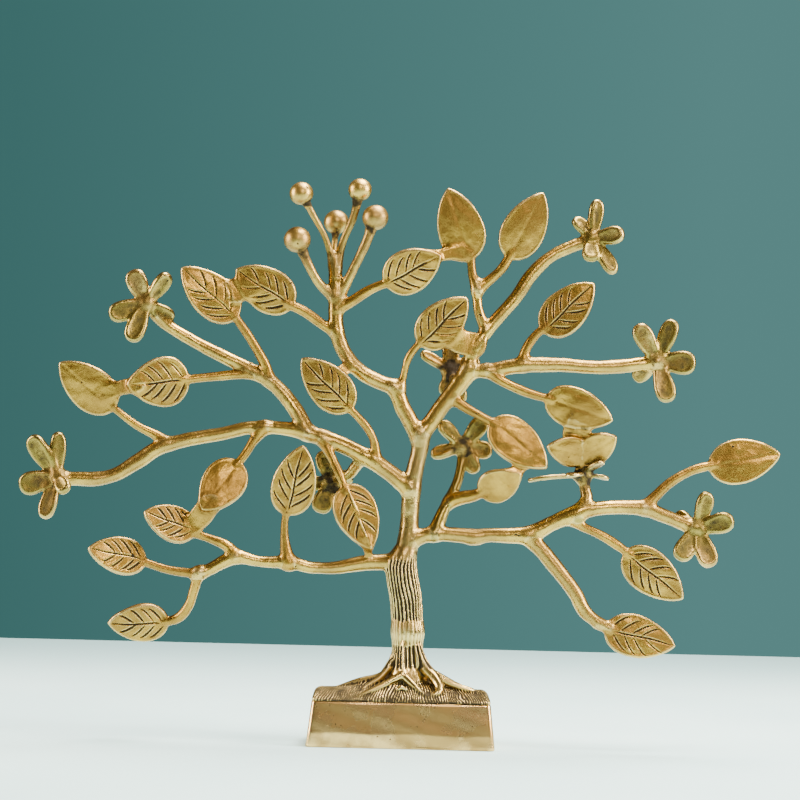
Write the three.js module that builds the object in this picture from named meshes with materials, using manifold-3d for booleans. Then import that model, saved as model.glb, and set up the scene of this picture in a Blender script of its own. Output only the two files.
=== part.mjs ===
// A cast brass tree of life, about 380 mm wide and 283 mm high.
//
// The tree is an assembly of castings brazed together: a hollow plinth, a root casting with the
// trunk's stub, the trunk, the limbs, and the leaves, flowers and berries on their stalks. Each
// casting is one mesh. A later casting is coped to fit the earlier ones it meets, with a thin gap
// where the brazing metal runs.
//
// Millimetres, +Z up, +X to the viewer's right, -Y toward the viewer. The origin is on the table
// under the middle of the tree.

import * as THREE from 'three';
import { mergeVertices } from 'three/addons/utils/BufferGeometryUtils.js';
import Module from 'manifold-3d';

const wasm = await Module();
wasm.setup();

// ---------------------------------------------------------------- driving dimensions

const BRAZING_GAP = 0.3;

// The tree stands slightly off plumb on its plinth, turned about a point at mid height.
const LEAN = THREE.MathUtils.degToRad(1.4);
const LEAN_CENTRE_HEIGHT = 171.5;

const PLINTH = {
  width: 93, topWidth: 88, depth: 44, topDepth: 40, height: 22.5, wall: 4, corner: 2.5,
};
const PLINTH_CENTRE_X = LEAN_CENTRE_HEIGHT * Math.sin(LEAN);

// The hatched mound covers the plinth's top and rises to a low ridge under the trunk.
const MOUND = { edgeHeight: 1.2, endHeight: 4, ridgeHeight: 8.5, ridgeSpread: 24 };

const TRUNK_JOINT_HEIGHT = 56.2;

const LEAF = { thickness: 2.6, bow: 1.4, ends: 0.4 };
const LEAF_WIDEST_AT = 0.385;
const PETAL = { thickness: 3, neck: 0.38, widestAt: 0.6 };
const HUB_RADIUS = 4.2;

const FRONT = new THREE.Vector3(0, -1, 0);

// ---------------------------------------------------------------- routes of the castings
//
// A route lists points [x, y, z, diameter] along the middle of a casting, from its root outward.

const TRUNK = [
  [3.8, 0, TRUNK_JOINT_HEIGHT, 16], [3, 0, 71.5, 16], [1.3, 0, 82, 16], [0.6, 0, 88, 15.6],
  [1.6, 0, 93, 13.5], [3.2, 0, 99, 9.6], [4, 0, 111.5, 8], [4.5, 0, 121.5, 8], [5.5, 0, 131.5, 7.6],
  [8, 0, 141.5, 6.4], [9.6, 0, 148, 6.8], [10, 0, 155, 8.2],
];

const TRUNK_STUB = [
  [3.5, 0, 25, 34], [3.5, 0, 31, 30], [3.5, 0, 37, 23], [3.5, 0, 42, 18], [3.7, 0, 47.5, 15.6],
  [3.8, 0, TRUNK_JOINT_HEIGHT - BRAZING_GAP, 16],
];

const ROOTS = [
  [[-2, 0, 42, 7], [-9, 0, 36.5, 6], [-20, -1, 32, 5], [-31, -2, 28.5, 4.5], [-40, -3, 25.5, 3.5]],
  [[1, -5, 44, 6], [-2, -8, 35, 5.5], [-9, -12, 30, 5], [-17, -16, 25.5, 4]],
  [[3, -6, 44, 6], [4.5, -9, 33, 5.5], [9, -13, 28.5, 5], [14, -17, 24.5, 4]],
  [[7, -3, 42, 7], [13, -6, 34, 6.5], [18, -11, 29, 5.5], [17, -17, 24.5, 4.5]],
  [[9, 0, 41, 7], [17, -1, 34, 6.5], [28, -3, 28.5, 5.5], [41, -6, 25.5, 3.5]],
  [[8, 4, 42, 7], [15, 9, 32.5, 6], [25, 15, 26, 4]],
  [[3.5, 6, 43, 6], [3, 11, 31.5, 5.5], [5, 17, 25, 4]],
  [[-1, 4, 42, 7], [-8, 9, 32.5, 6], [-18, 14, 26.5, 4]],
];

const LIMBS = {
  lower_left: [
    [1, 0, 91, 9], [-10, 0, 90.5, 8], [-19, 0, 90, 7.8], [-32.5, -1, 87.8, 6], [-45, -1.5, 88, 6],
    [-55, -2, 90.5, 6.3], [-70, -2.5, 91, 5.4], [-82, -3, 93, 7], [-95, -3.5, 87.5, 5.5],
    [-101, -4, 84.5, 6],
  ],
  upper_left: [
    [5, 0, 127, 9], [-5, 0, 135, 8.5], [-15, 0.5, 141.8, 8.3], [-30, 1, 149.5, 8], [-46, 1.5, 155, 8],
    [-60, 2, 157.5, 6.6], [-75, 2.5, 157.8, 6.5], [-90, 2.5, 154.5, 6.5], [-107.5, 2, 151.5, 7],
    [-121, 1.5, 147.5, 7.5], [-131, 1, 141, 7.5], [-143, 0, 134, 6.8], [-155, -1, 132, 7.2],
    [-170, -2, 132.5, 6.5],
  ],
  left_branch: [
    [-46, 1.5, 155, 8], [-52, 2, 165.5, 8], [-61, 3, 176.5, 7.5], [-71, 3.5, 184.5, 7],
    [-87.5, 4, 193.5, 6.4], [-102.5, 4.5, 201, 6], [-116, 4, 209, 6], [-122, 3, 214, 6],
    [-126.5, 2, 220.5, 6],
  ],
  middle: [
    [9.6, 0, 152, 7], [5, 0, 161.5, 6.5], [2, 0, 167.5, 6.5], [0.5, 0, 173, 7], [-3, 0, 178.5, 6.8],
  ],
  berry: [
    [-1, 0, 178, 7], [-10, 0.5, 181, 7], [-20, 1, 186.5, 7], [-28.5, 1.5, 196.5, 7.2],
    [-32, 2, 209, 7.5], [-32, 2, 222, 7.5], [-32.5, 2, 232, 6.6], [-33, 2, 243, 5.5],
  ],
  right_fork: [
    [10, 0, 154, 8], [14, 0, 160.5, 7.4], [20.5, 0, 170, 7.5], [28, 0.5, 178.5, 7.8],
    [35, 0.5, 187, 8],
  ],
  upper_right: [
    [33.5, 0.5, 185, 7], [36, 0.5, 194.5, 6.6], [43, 1, 206.5, 6], [57, 2, 223, 6], [65, 2.5, 234.5, 6],
    [75, 3, 243, 5.6], [86, 3.5, 248.5, 6], [97.5, 4, 252.5, 5.5],
  ],
  far_right: [
    [34, 0.5, 186.5, 6], [42.5, -0.5, 186.3, 5.8], [61.5, -1.5, 189.7, 7], [80, -2, 190, 6],
    [100, -2.5, 188.5, 5.6], [120, -3, 190, 6], [130, -3, 190.5, 6],
  ],
  lower_right: [
    [4, 0, 101, 8.5], [16, 0, 104.5, 7.2], [31, -0.5, 103.8, 7.5], [37.5, -0.5, 103, 8.6],
    [45, -1, 104, 7], [63.5, -1.5, 104.2, 8.6], [76, -2, 110, 7.6], [87, -2.5, 114.5, 8.3],
    [100, -2.5, 117.5, 7], [120, -2, 117.5, 7.4], [132, -1.5, 113.5, 7], [149, -1, 106.5, 7],
  ],
  drooping: [
    [64, -1.5, 103, 8], [70, -2.5, 96, 7], [78.5, -4, 85, 6.5], [85.5, -5, 75.5, 6.5],
    [90, -5.5, 66, 6.2], [96, -6, 61, 5.5], [104, -6, 58, 4.5],
  ],
  twin_stem: [
    [43, 1, 206.5, 6], [39.5, 0, 215.5, 4.8], [38.6, -0.5, 223, 4.8], [39, -1, 230, 5.6],
  ],
};

// A berry is a ball of the given radius at the end of its stalk.
const BERRIES = [
  { radius: 6, stalk: [[-32.5, 2, 238, 5], [-37, 1, 252, 3.3], [-42.5, 0, 262.5, 3.3], [-49.5, -1, 275, 3.3]] },
  { radius: 5.8, stalk: [[-32, 2, 234, 5], [-28.5, 1, 250.5, 3.8], [-24.5, 0, 263, 3.8], [-20, 0, 277, 3.8]] },
  { radius: 5.5, stalk: [[-33, 3, 239, 5], [-33, 8, 250, 3], [-32, 12, 261, 3]] },
  { radius: 6.5, stalk: [[-31, 2, 222, 6], [-24, 0, 236.5, 4.5], [-18, -1.5, 250, 4.5], [-12.5, -2, 263, 4.5]] },
  { radius: 6.7, stalk: [[-33, 2, 223, 6], [-40.5, 0, 231, 4.5], [-46, -1.5, 241, 4.5], [-51.5, -2, 252, 4.5]] },
];

// A flower has a hub, the tips of its five petals [x, y, z, petal width], and sometimes a stalk.
const FLOWERS = {
  left_branch: {
    hub: [-126.5, 0, 220.5],
    petals: [
      [-132, -3, 237, 9], [-117, -2, 236, 8.5], [-145.5, -4, 215, 8.5], [-134, -6, 200, 8.5],
      [-113, 5, 213, 8],
    ],
  },
  upper_left: {
    hub: [-172, -2, 132.5],
    petals: [
      [-183, -4, 154.5, 9], [-170, -3, 156, 8.5], [-190, -5, 129, 10], [-176.5, -6, 112.5, 8],
      [-164, -12, 127, 8],
    ],
  },
  upper_right: {
    hub: [97.5, 4, 252.5],
    petals: [
      [99, 3, 273, 7.5], [112.5, -3, 255.5, 8.5], [107.5, -3, 235.5, 8], [93.5, -4, 238, 7.5],
      [88, 3, 264, 7.5],
    ],
  },
  far_right: {
    hub: [130, -3, 190.5],
    petals: [
      [119, -7, 210.5, 9], [135.5, -5, 212, 9], [147.5, -8, 190.5, 10], [133.5, -9, 169.5, 9],
      [117.5, 4, 183, 8],
    ],
  },
  lower_right: {
    hub: [149, -1, 107.5],
    petals: [
      [152.5, -3, 126, 8.5], [167, -6, 111.5, 9], [154, -8, 88, 8.5], [138.5, -7, 90.5, 8.5],
      [138, 6, 117, 8],
    ],
  },
  behind_left: {
    hub: [-34.5, 10, 130],
    stalk: [[-18, 0.5, 143.5, 6], [-22, 4, 138.5, 5.5], [-26, 7, 134, 5], [-34.5, 10, 130, 5]],
    petals: [
      [-40.5, 8, 146.5, 8], [-41.5, 7, 113, 9.5], [-25, 12, 115.5, 9], [-21, 12, 133, 8],
      [-51, 11, 130, 8],
    ],
  },
  behind_middle: {
    hub: [31.5, 10, 148],
    stalk: [
      [17, 0, 104.5, 8], [21.5, 2, 115.5, 6], [24.5, 4, 121, 6.2], [29.5, 7, 133, 4.8],
      [32, 10, 148, 4.6],
    ],
    petals: [
      [21, 9, 158.5, 8.5], [39.5, 9, 162, 8.5], [14.5, 8, 145, 8], [48.5, 11, 147, 8.5],
      [40, 8, 134, 7.5],
    ],
  },
  behind_fork: {
    hub: [25, 13, 185.5],
    stalk: [[29.5, 0.5, 180.5, 6], [27, 7, 182.5, 5], [25, 13, 185.5, 4.6]],
    petals: [
      [7, 12, 194, 8.5], [24, 14, 204, 8], [40, 15, 193, 8.5], [31, 13, 168.5, 8],
      [12.5, 12, 172.5, 8],
    ],
  },
  lower_right_stalk: {
    hub: [91.5, 1, 135.5],
    stalk: [[88, -2.5, 113, 8], [93, -1.5, 121.5, 6.4], [92.5, 0, 128, 5.4], [91.5, 1, 135.5, 5]],
    flat: true,
    petals: [
      [64, 3, 132.5, 9], [108.5, 5, 134, 9], [98, -14, 141, 9], [82, -14, 139, 9], [92, 20, 136, 9],
    ],
  },
};

// A leaf has a blade from base to tip, a stalk, and sometimes a bridge of brazing metal to its
// neighbour. Turn is how far the blade is rolled about its own length, in degrees.
const LEAVES = {
  left_branch_1: {
    base: [-81.5, -2, 212], tip: [-108.5, -5, 237.5], width: 21, turn: 8,
    stalk: [[-65, 3, 181, 6], [-68.5, 1.5, 191, 5], [-76, 0, 204, 4.6], [-84, -2, 215, 4]],
  },
  left_branch_2: {
    base: [-105.5, 0, 182], tip: [-135.5, -8, 179.5], width: 23, turn: -10,
    stalk: [[-71, 3.5, 184.5, 6], [-81, 2.5, 184.3, 4.5], [-95, 1, 183, 4.2], [-109, -1, 181.5, 4]],
  },
  berry_1: {
    base: [-53.5, -1, 218], tip: [-82, -3, 236], width: 21, turn: -8,
    stalk: [[-32, 2, 205.5, 6], [-37.5, 1.5, 208.5, 5], [-47.5, 0, 215.5, 5], [-57, -1.5, 220, 4]],
    bridge: [[-74, -2, 227, 7], [-83, -2.5, 224.5, 10], [-92, -3, 223.5, 8]],
  },
  berry_2: {
    base: [-9, -2, 229.5], tip: [18.5, -8, 242.5], width: 22, turn: 12,
    stalk: [[-32, 2, 217, 6], [-25, 1, 220.5, 5.4], [-15, -0.5, 226.8, 4.8], [-5, -2, 230.5, 4]],
  },
  upper_left_1: {
    base: [-143, 0, 167.5], tip: [-170, -4, 191], width: 21, turn: -6,
    stalk: [[-116, 2, 149.8, 6], [-122.5, 2, 154, 5], [-132.5, 1, 159.3, 3.8], [-145, 0, 169, 3.4]],
    bridge: [[-148, -1, 175, 5], [-139, -4, 178.5, 5.5], [-131, -7, 180, 5]],
  },
  upper_left_2: {
    base: [-80, -1, 141], tip: [-99.5, -8, 117.5], width: 21, turn: 5,
    stalk: [[-67, 2, 158, 7], [-72.5, 1, 151, 4.6], [-76, 0, 145.5, 4.2], [-81.5, -1.5, 139, 4]],
  },
  upper_left_3: {
    base: [-28, -5, 129], tip: [-15, -5, 97], width: 21, turn: -12,
    stalk: [[-39, 1, 152.5, 7.5], [-34.5, -2, 143.5, 4.6], [-30.5, -4, 135, 4.4], [-27, -5.2, 126, 4]],
    bridge: [[-17, -5.5, 102, 4], [-16, -3.5, 96, 4], [-15, -1, 92, 4]],
  },
  upper_left_4: {
    base: [-24.5, -5, 166.5], tip: [-49.5, -6, 192], width: 21, turn: -6,
    stalk: [[-12, 0, 140.5, 6], [-13, -2, 151, 4], [-17.5, -4, 159, 4], [-26, -5.2, 168, 3.6]],
    bridge: [[-33, -6, 182, 6], [-30, -4, 185, 6], [-26.5, -1, 188, 6]],
  },
  lower_left_1: {
    base: [-103, -2, 105], tip: [-128, -10, 115.5], width: 19, turn: 24,
    stalk: [[-82, -3, 94, 7], [-86, -3, 98.5, 5.2], [-94, -2.5, 102, 4.4], [-106, -2.5, 106, 3.8]],
    bridge: [[-107, -3, 107.5, 6], [-102, -4.5, 113, 8], [-97.5, -7, 120, 8]],
  },
  lower_left_2: {
    base: [-127, -5, 91], tip: [-155, -13, 97.5], width: 19.5, turn: 20,
    stalk: [[-99, -4, 85.5, 6], [-106, -4, 85.5, 4.8], [-117.5, -4.5, 87.5, 4], [-130, -5.5, 92, 3.8]],
  },
  lower_left_3: {
    base: [-116.5, 3, 60.5], tip: [-146.5, -2, 60.5], width: 20, turn: -18,
    stalk: [
      [-100, -4, 86, 6], [-102.5, -3, 77, 5], [-105.5, -1, 68.5, 5], [-111, 1.5, 62.5, 4.8],
      [-120, 2.5, 60, 4],
    ],
  },
  lower_left_4: {
    base: [-57, -4, 114.5], tip: [-48.5, -8, 149], width: 22, turn: 5,
    stalk: [[-55.5, -2, 90, 8.5], [-57, -2.5, 97.5, 5.6], [-57.5, -3.5, 108, 4], [-56.5, -4.2, 117, 3.6]],
  },
  middle_1: {
    base: [9, -4, 199.5], tip: [33.5, -7, 223], width: 23, turn: 8,
    stalk: [[0, 0, 177, 5], [2, -1.5, 184.5, 3.6], [4.5, -3, 193, 3.8], [11, -4.2, 201.5, 3.6]],
    bridge: [[24, -5, 203.5, 9], [30, -4, 199, 10], [36, -1, 196.5, 8]],
  },
  twin_stem_1: {
    base: [35.3, -2, 241.5], tip: [24, -6, 277], width: 23.5, turn: -4,
    stalk: [[39, -1, 226.5, 5.5], [37, -1.5, 233.5, 4.6], [35.5, -2, 245, 4.4]],
    bridge: [[31, -2.5, 244, 7], [24, -4.5, 243, 6], [15, -7, 241.5, 6]],
  },
  twin_stem_2: {
    base: [54.5, -2, 242.5], tip: [71.5, -6, 275], width: 22, turn: 8,
    stalk: [[39, -1, 226.5, 5.5], [47.5, -1.5, 233.8, 4.6], [51.5, -2, 238, 4.6], [56, -2.2, 245.5, 4]],
  },
  far_right_1: {
    base: [71, -3, 205.5], tip: [96.5, -6, 229.5], width: 21.5, turn: -8,
    stalk: [[61.5, -1.5, 189, 7], [62.8, -2, 196.5, 4.8], [68, -2.8, 204, 4.2], [73.5, -3.2, 208, 3.6]],
  },
  far_right_2: {
    base: [72.5, -5, 172.5], tip: [106, -8, 161], width: 20.5, turn: 10,
    stalk: [[43, -0.5, 186.5, 6], [51.5, -2.5, 180.5, 5], [63, -4, 175.3, 4.8], [76, -5.2, 171.3, 4]],
  },
  right_fork_1: {
    base: [45.5, -4, 161], tip: [73, -7, 137.5], width: 21.5, turn: -8,
    stalk: [[25, 0, 173, 6], [33, -1.5, 167.5, 4.8], [39, -3, 164, 4.4], [48, -4.2, 159, 4]],
  },
  lower_right_1: {
    base: [40, -1, 125], tip: [60, -9, 135.5], width: 18, turn: 20,
    stalk: [[25, 4, 121.5, 5.5], [31.5, 1.5, 124, 5], [36, 0, 124.5, 5], [43, -1.8, 126.5, 4]],
    bridge: [[55, -7, 133, 6], [61, -6.5, 139, 6], [64, -6, 144, 5]],
  },
  lower_right_2: {
    base: [90, 0, 139], tip: [73.5, -7, 147.5], width: 18, turn: -25,
    stalk: [[91, 1, 136, 5], [89, -1, 140, 4], [86, -2, 141.5, 4]],
  },
  lower_right_3: {
    base: [92.5, 0, 139.5], tip: [108, -7, 150], width: 18, turn: 25,
    stalk: [[92, 1, 136, 5], [94, -1, 140.5, 4], [97, -2, 142.5, 4]],
    bridge: [[95, -1.5, 142, 6], [90.5, -3.5, 152, 6], [88, -6.5, 161, 6]],
  },
  lower_right_4: {
    base: [154, -2, 138.5], tip: [190, -5, 145], width: 23, turn: -5,
    stalk: [
      [122, -2, 117.5, 7], [127.5, -2, 123.5, 5.4], [136, -2, 131, 5], [147, -2, 136.8, 4.6],
      [158, -2.4, 139.3, 4],
    ],
  },
  lower_right_5: {
    base: [112, -4, 96], tip: [140.5, -7, 72.5], width: 22, turn: 8,
    stalk: [[84, -2.5, 112, 6], [91, -3, 107.5, 4.4], [103, -3.5, 102, 4.6], [115, -4.3, 93.8, 4]],
  },
  drooping_1: {
    base: [102.5, -6, 57.5], tip: [137.5, -9, 49], width: 21, turn: -6,
    stalk: [[98, -6, 60, 4.6], [106, -6.3, 56.5, 4]],
  },
};

// ---------------------------------------------------------------- solids

/** A closed geometry as a manifold solid. */
function toSolid(geometry) {
  const bare = geometry.clone();
  bare.deleteAttribute('normal');
  bare.deleteAttribute('uv');
  const merged = mergeVertices(bare, 1e-4);
  const mesh = new wasm.Mesh({
    numProp: 3,
    vertProperties: Float32Array.from(merged.attributes.position.array),
    triVerts: Uint32Array.from(merged.index.array),
  });
  return new wasm.Manifold(mesh);
}

/** The solid's biggest body, as a geometry. */
function toGeometry(solid) {
  const bodies = solid.decompose().sort((a, b) => b.volume() - a.volume());
  const mesh = bodies[0].getMesh();
  const geometry = new THREE.BufferGeometry();
  geometry.setAttribute('position', new THREE.BufferAttribute(mesh.vertProperties, mesh.numProp));
  geometry.setIndex(new THREE.BufferAttribute(mesh.triVerts, 1));
  geometry.computeVertexNormals();
  return geometry;
}

const joined = (solids) => solids.reduce((whole, part) => whole.add(part));

/**
 * A bar along a curve, made by bending a closed cylinder. sizeAt(t) gives half the width and half
 * the thickness; the thickness lies along facing. grow fattens the bar on every side.
 */
function bar(curve, { sizeAt, sides, steps, facing = FRONT, spacing = (t) => t, grow = 0 }) {
  const geometry = new THREE.CylinderGeometry(1, 1, 1, sides, steps, false, Math.PI / 2);
  const position = geometry.attributes.position;
  const local = new THREE.Vector3();
  for (let i = 0; i < position.count; i += 1) {
    local.fromBufferAttribute(position, i);
    const t = spacing(local.y + 0.5);
    const along = curve.getTangent(t);
    const across = along.clone().cross(facing).normalize();
    const outward = across.clone().cross(along);
    const [halfWidth, halfThickness] = sizeAt(t);
    const endShift = 2 * local.y * grow * (Math.abs(local.y) > 0.499);
    const point = curve.getPoint(t)
      .addScaledVector(across, local.x * (halfWidth + grow))
      .addScaledVector(outward, local.z * (halfThickness + grow))
      .addScaledVector(along, endShift);
    position.setXYZ(i, point.x, point.y, point.z);
  }
  return toSolid(geometry);
}

/** A round bar through route points [x, y, z, diameter]. */
function rod(route, grow, { sides = 8, stepsPerSpan = 2 } = {}) {
  const spans = route.length - 1;
  const curve = new THREE.CatmullRomCurve3(route.map(([x, y, z]) => new THREE.Vector3(x, y, z)));
  const sizeAt = (t) => {
    const place = Math.min(t * spans, spans - 1e-9);
    const span = Math.floor(place);
    const radius = THREE.MathUtils.lerp(route[span][3], route[span + 1][3], place - span) / 2;
    return [radius, radius];
  };
  return bar(curve, { sizeAt, sides, steps: spans * stepsPerSpan, grow });
}

// Stalks and roots are thin, so a coarser rod does.
const STALK_DETAIL = { sides: 6, stepsPerSpan: 1 };

// Spaces a bar's rings closer together toward both of its ends.
const crowdedEnds = (t) => (1 - Math.cos(Math.PI * t)) / 2;

// ---------------------------------------------------------------- plinth and root casting

/** A block with rounded corners whose sides taper from its bottom to its top. */
function taperedBlock({ width, depth, topWidth, topDepth, height, corner }) {
  const halfWidth = width / 2;
  const halfDepth = depth / 2;
  const outline = new THREE.Shape();
  outline.moveTo(corner - halfWidth, -halfDepth);
  outline.absarc(halfWidth - corner, corner - halfDepth, corner, -Math.PI / 2, 0);
  outline.absarc(halfWidth - corner, halfDepth - corner, corner, 0, Math.PI / 2);
  outline.absarc(corner - halfWidth, halfDepth - corner, corner, Math.PI / 2, Math.PI);
  outline.absarc(corner - halfWidth, corner - halfDepth, corner, Math.PI, 1.5 * Math.PI);
  const geometry = new THREE.ExtrudeGeometry(outline, {
    depth: height, bevelEnabled: false, curveSegments: 3,
  });
  const position = geometry.attributes.position;
  for (let i = 0; i < position.count; i += 1) {
    const rise = position.getZ(i) / height;
    position.setX(i, position.getX(i) * THREE.MathUtils.lerp(1, topWidth / width, rise));
    position.setY(i, position.getY(i) * THREE.MathUtils.lerp(1, topDepth / depth, rise));
  }
  return toSolid(geometry);
}

/** The plinth is a hollow casting, open underneath, with one wall thickness all round. */
function plinth() {
  const { wall } = PLINTH;
  const cavity = taperedBlock({
    width: PLINTH.width - 2 * wall,
    depth: PLINTH.depth - 2 * wall,
    topWidth: PLINTH.topWidth - 2 * wall,
    topDepth: PLINTH.topDepth - 2 * wall,
    height: PLINTH.height - wall,
    corner: PLINTH.corner,
  });
  return taperedBlock(PLINTH).subtract(cavity);
}

/** The mound: a slab as big as the plinth's top, its upper face raised to a ridge. */
function mound() {
  const { edgeHeight, endHeight, ridgeHeight, ridgeSpread } = MOUND;
  const { topWidth, topDepth } = PLINTH;
  const geometry = new THREE.BoxGeometry(topWidth, topDepth, 2 * edgeHeight, 12, 6, 1);
  const position = geometry.attributes.position;
  for (let i = 0; i < position.count; i += 1) {
    const x = position.getX(i);
    const acrossShare = 1 - (2 * position.getY(i) / topDepth) ** 2;
    const endShare = 1 - Math.abs(2 * x / topWidth) ** 8;
    const ridge = endHeight + ridgeHeight * Math.exp(-((x / ridgeSpread) ** 2));
    const top = edgeHeight + (ridge - edgeHeight) * acrossShare * endShare;
    position.setZ(i, position.getZ(i) > 0 ? top : 0);
  }
  geometry.translate(PLINTH_CENTRE_X, 0, PLINTH.height + BRAZING_GAP);
  return geometry;
}

/** The root casting: mound, trunk stub and roots in one piece, with a flat underside. */
function rootCasting(levelToTree, grow) {
  const parts = [
    toSolid(mound().applyMatrix4(levelToTree)),
    rod(TRUNK_STUB, grow, { sides: 12, stepsPerSpan: 1 }),
    ...ROOTS.map((route) => rod(route, 0, STALK_DETAIL)),
  ];
  const below = new THREE.BoxGeometry(2 * PLINTH.width, 2 * PLINTH.depth, PLINTH.height);
  below.translate(PLINTH_CENTRE_X, 0, PLINTH.height / 2 + BRAZING_GAP);
  return joined(parts).subtract(toSolid(below.applyMatrix4(levelToTree)));
}

// ---------------------------------------------------------------- leaves, flowers and berries

/** Share of a leaf's full width at s along its blade: round at the base, pointed at the tip. */
function leafOutline(s) {
  const rise = (s / LEAF_WIDEST_AT) ** 0.5;
  const fall = ((1 - s) / (1 - LEAF_WIDEST_AT)) ** 0.8;
  return rise * fall;
}

function leaf({ base, tip, width, turn, stalk, bridge }, grow) {
  const start = new THREE.Vector3(...base);
  const end = new THREE.Vector3(...tip);
  const axis = end.clone().sub(start).normalize();
  const facing = FRONT.clone().applyAxisAngle(axis, THREE.MathUtils.degToRad(turn));
  const middle = start.clone().lerp(end, 0.5).addScaledVector(facing, LEAF.bow);
  const blade = bar(new THREE.CatmullRomCurve3([start, middle, end]), {
    sizeAt: (s) => [
      LEAF.ends + (width / 2 - LEAF.ends) * leafOutline(s),
      LEAF.ends + (LEAF.thickness / 2 - LEAF.ends) * leafOutline(s) ** 0.5,
    ],
    sides: 6, steps: 7, facing, spacing: crowdedEnds, grow,
  });
  const parts = [blade, rod(stalk, grow, STALK_DETAIL)];
  if (bridge) {
    parts.push(bridgeBar(bridge, grow));
  }
  return joined(parts);
}

/** A flat web of brazing metal along points [x, y, z, width]. */
function bridgeBar(route, grow) {
  const curve = new THREE.CatmullRomCurve3(route.map(([x, y, z]) => new THREE.Vector3(x, y, z)));
  const width = route[1][3];
  return bar(curve, {
    sizeAt: () => [width / 2, LEAF.thickness / 2], sides: 6, steps: 2, grow,
  });
}

/** Share of a petal's full width at s along it: a narrow neck, then a round paddle. */
function petalOutline(s) {
  if (s < PETAL.widestAt) {
    return THREE.MathUtils.lerp(PETAL.neck, 1, THREE.MathUtils.smoothstep(s, 0, PETAL.widestAt));
  }
  return Math.sqrt(Math.max(1 - ((s - PETAL.widestAt) / (1 - PETAL.widestAt)) ** 2, 0.02));
}

function flower({ hub, stalk, petals, flat = false }, grow) {
  const centre = new THREE.Vector3(...hub);
  const ball = new THREE.SphereGeometry(HUB_RADIUS + grow, 6, 4).translate(...hub);
  const facing = flat ? new THREE.Vector3(0, 0, 1) : FRONT;
  const blades = petals.map(([x, y, z, width]) => {
    const tip = new THREE.Vector3(x, y, z);
    return bar(new THREE.LineCurve3(centre, tip), {
      sizeAt: (s) => [petalOutline(s) * width / 2, PETAL.thickness / 2 * petalOutline(s) ** 0.5],
      sides: 4, steps: 4, facing, spacing: crowdedEnds, grow,
    });
  });
  const parts = [toSolid(ball), ...blades];
  if (stalk) {
    parts.push(rod(stalk, grow, STALK_DETAIL));
  }
  return joined(parts);
}

function berry({ radius, stalk }, grow) {
  const [x, y, z] = stalk.at(-1);
  const ball = new THREE.SphereGeometry(radius + grow, 10, 6).translate(x, y, z);
  return toSolid(ball).add(rod(stalk, grow, STALK_DETAIL));
}

// ---------------------------------------------------------------- materials

const brass = (color, roughness) => new THREE.MeshStandardMaterial({ color, roughness, metalness: 1 });

const FINISHES = {
  plinth: () => brass(0xcdaa6b, 0.22),
  roots: () => brass(0x9c7a42, 0.42),
  trunk: () => brass(0xa9864b, 0.4),
  limb: () => brass(0xbf9a5c, 0.33),
  leaf: () => brass(0xbb9759, 0.4),
  flower: () => brass(0x94804d, 0.42),
  berry: () => brass(0xc19a5a, 0.3),
};

// ---------------------------------------------------------------- assembly

const model = new THREE.Group();
const tree = new THREE.Group();
tree.rotation.y = -LEAN;
tree.position.set(
  LEAN_CENTRE_HEIGHT * Math.sin(LEAN), 0, LEAN_CENTRE_HEIGHT * (1 - Math.cos(LEAN)),
);
tree.updateMatrixWorld();
const levelToTree = tree.matrixWorld.clone().invert();
model.add(tree);

const base = new THREE.Mesh(toGeometry(plinth()), FINISHES.plinth());
base.name = 'plinth';
base.position.x = PLINTH_CENTRE_X;
model.add(base);

/** Castings of the tree in the order they are fitted: [name, finish, solid grown by so much]. */
const castings = [
  ['root_casting', 'roots', (grow) => rootCasting(levelToTree, grow)],
  ['trunk', 'trunk', (grow) => rod(TRUNK, grow, { sides: 12, stepsPerSpan: 1 })],
];
for (const [name, route] of Object.entries(LIMBS)) {
  castings.push([`limb_${name}`, 'limb', (grow) => rod(route, grow)]);
}
for (const [name, spec] of Object.entries(FLOWERS)) {
  castings.push([`flower_${name}`, 'flower', (grow) => flower(spec, grow)]);
}
for (const [name, spec] of Object.entries(LEAVES)) {
  castings.push([`leaf_${name}`, 'leaf', (grow) => leaf(spec, grow)]);
}
BERRIES.forEach((spec, i) => {
  castings.push([`berry_${i + 1}`, 'berry', (grow) => berry(spec, grow)]);
});

const boxOf = (solid) => {
  const { min, max } = solid.boundingBox();
  return new THREE.Box3(new THREE.Vector3(...min), new THREE.Vector3(...max));
};

const fitted = [];
for (const [name, finish, solidGrownBy] of castings) {
  let solid = solidGrownBy(0);
  const box = boxOf(solid);
  for (const earlier of fitted) {
    if (earlier.box.intersectsBox(box)) {
      solid = solid.subtract(earlier.solid);
    }
  }
  const grown = solidGrownBy(BRAZING_GAP);
  fitted.push({ solid: grown, box: boxOf(grown) });
  const mesh = new THREE.Mesh(toGeometry(solid), FINISHES[finish]());
  mesh.name = name;
  tree.add(mesh);
}

export default model;
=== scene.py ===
# The visual model of a cast brass tree of life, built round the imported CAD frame.
#
# Every casting is carved from a field of signed distances, so that limbs, stalks, blades and balls
# run into each other with the soft fillets of cast and brazed metal. One mesh piece replaces each
# CAD node. Routes and sizes follow the CAD's, with small corrections. They are in millimetres, in
# the frame of the tree, which leans on its level plinth.

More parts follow.
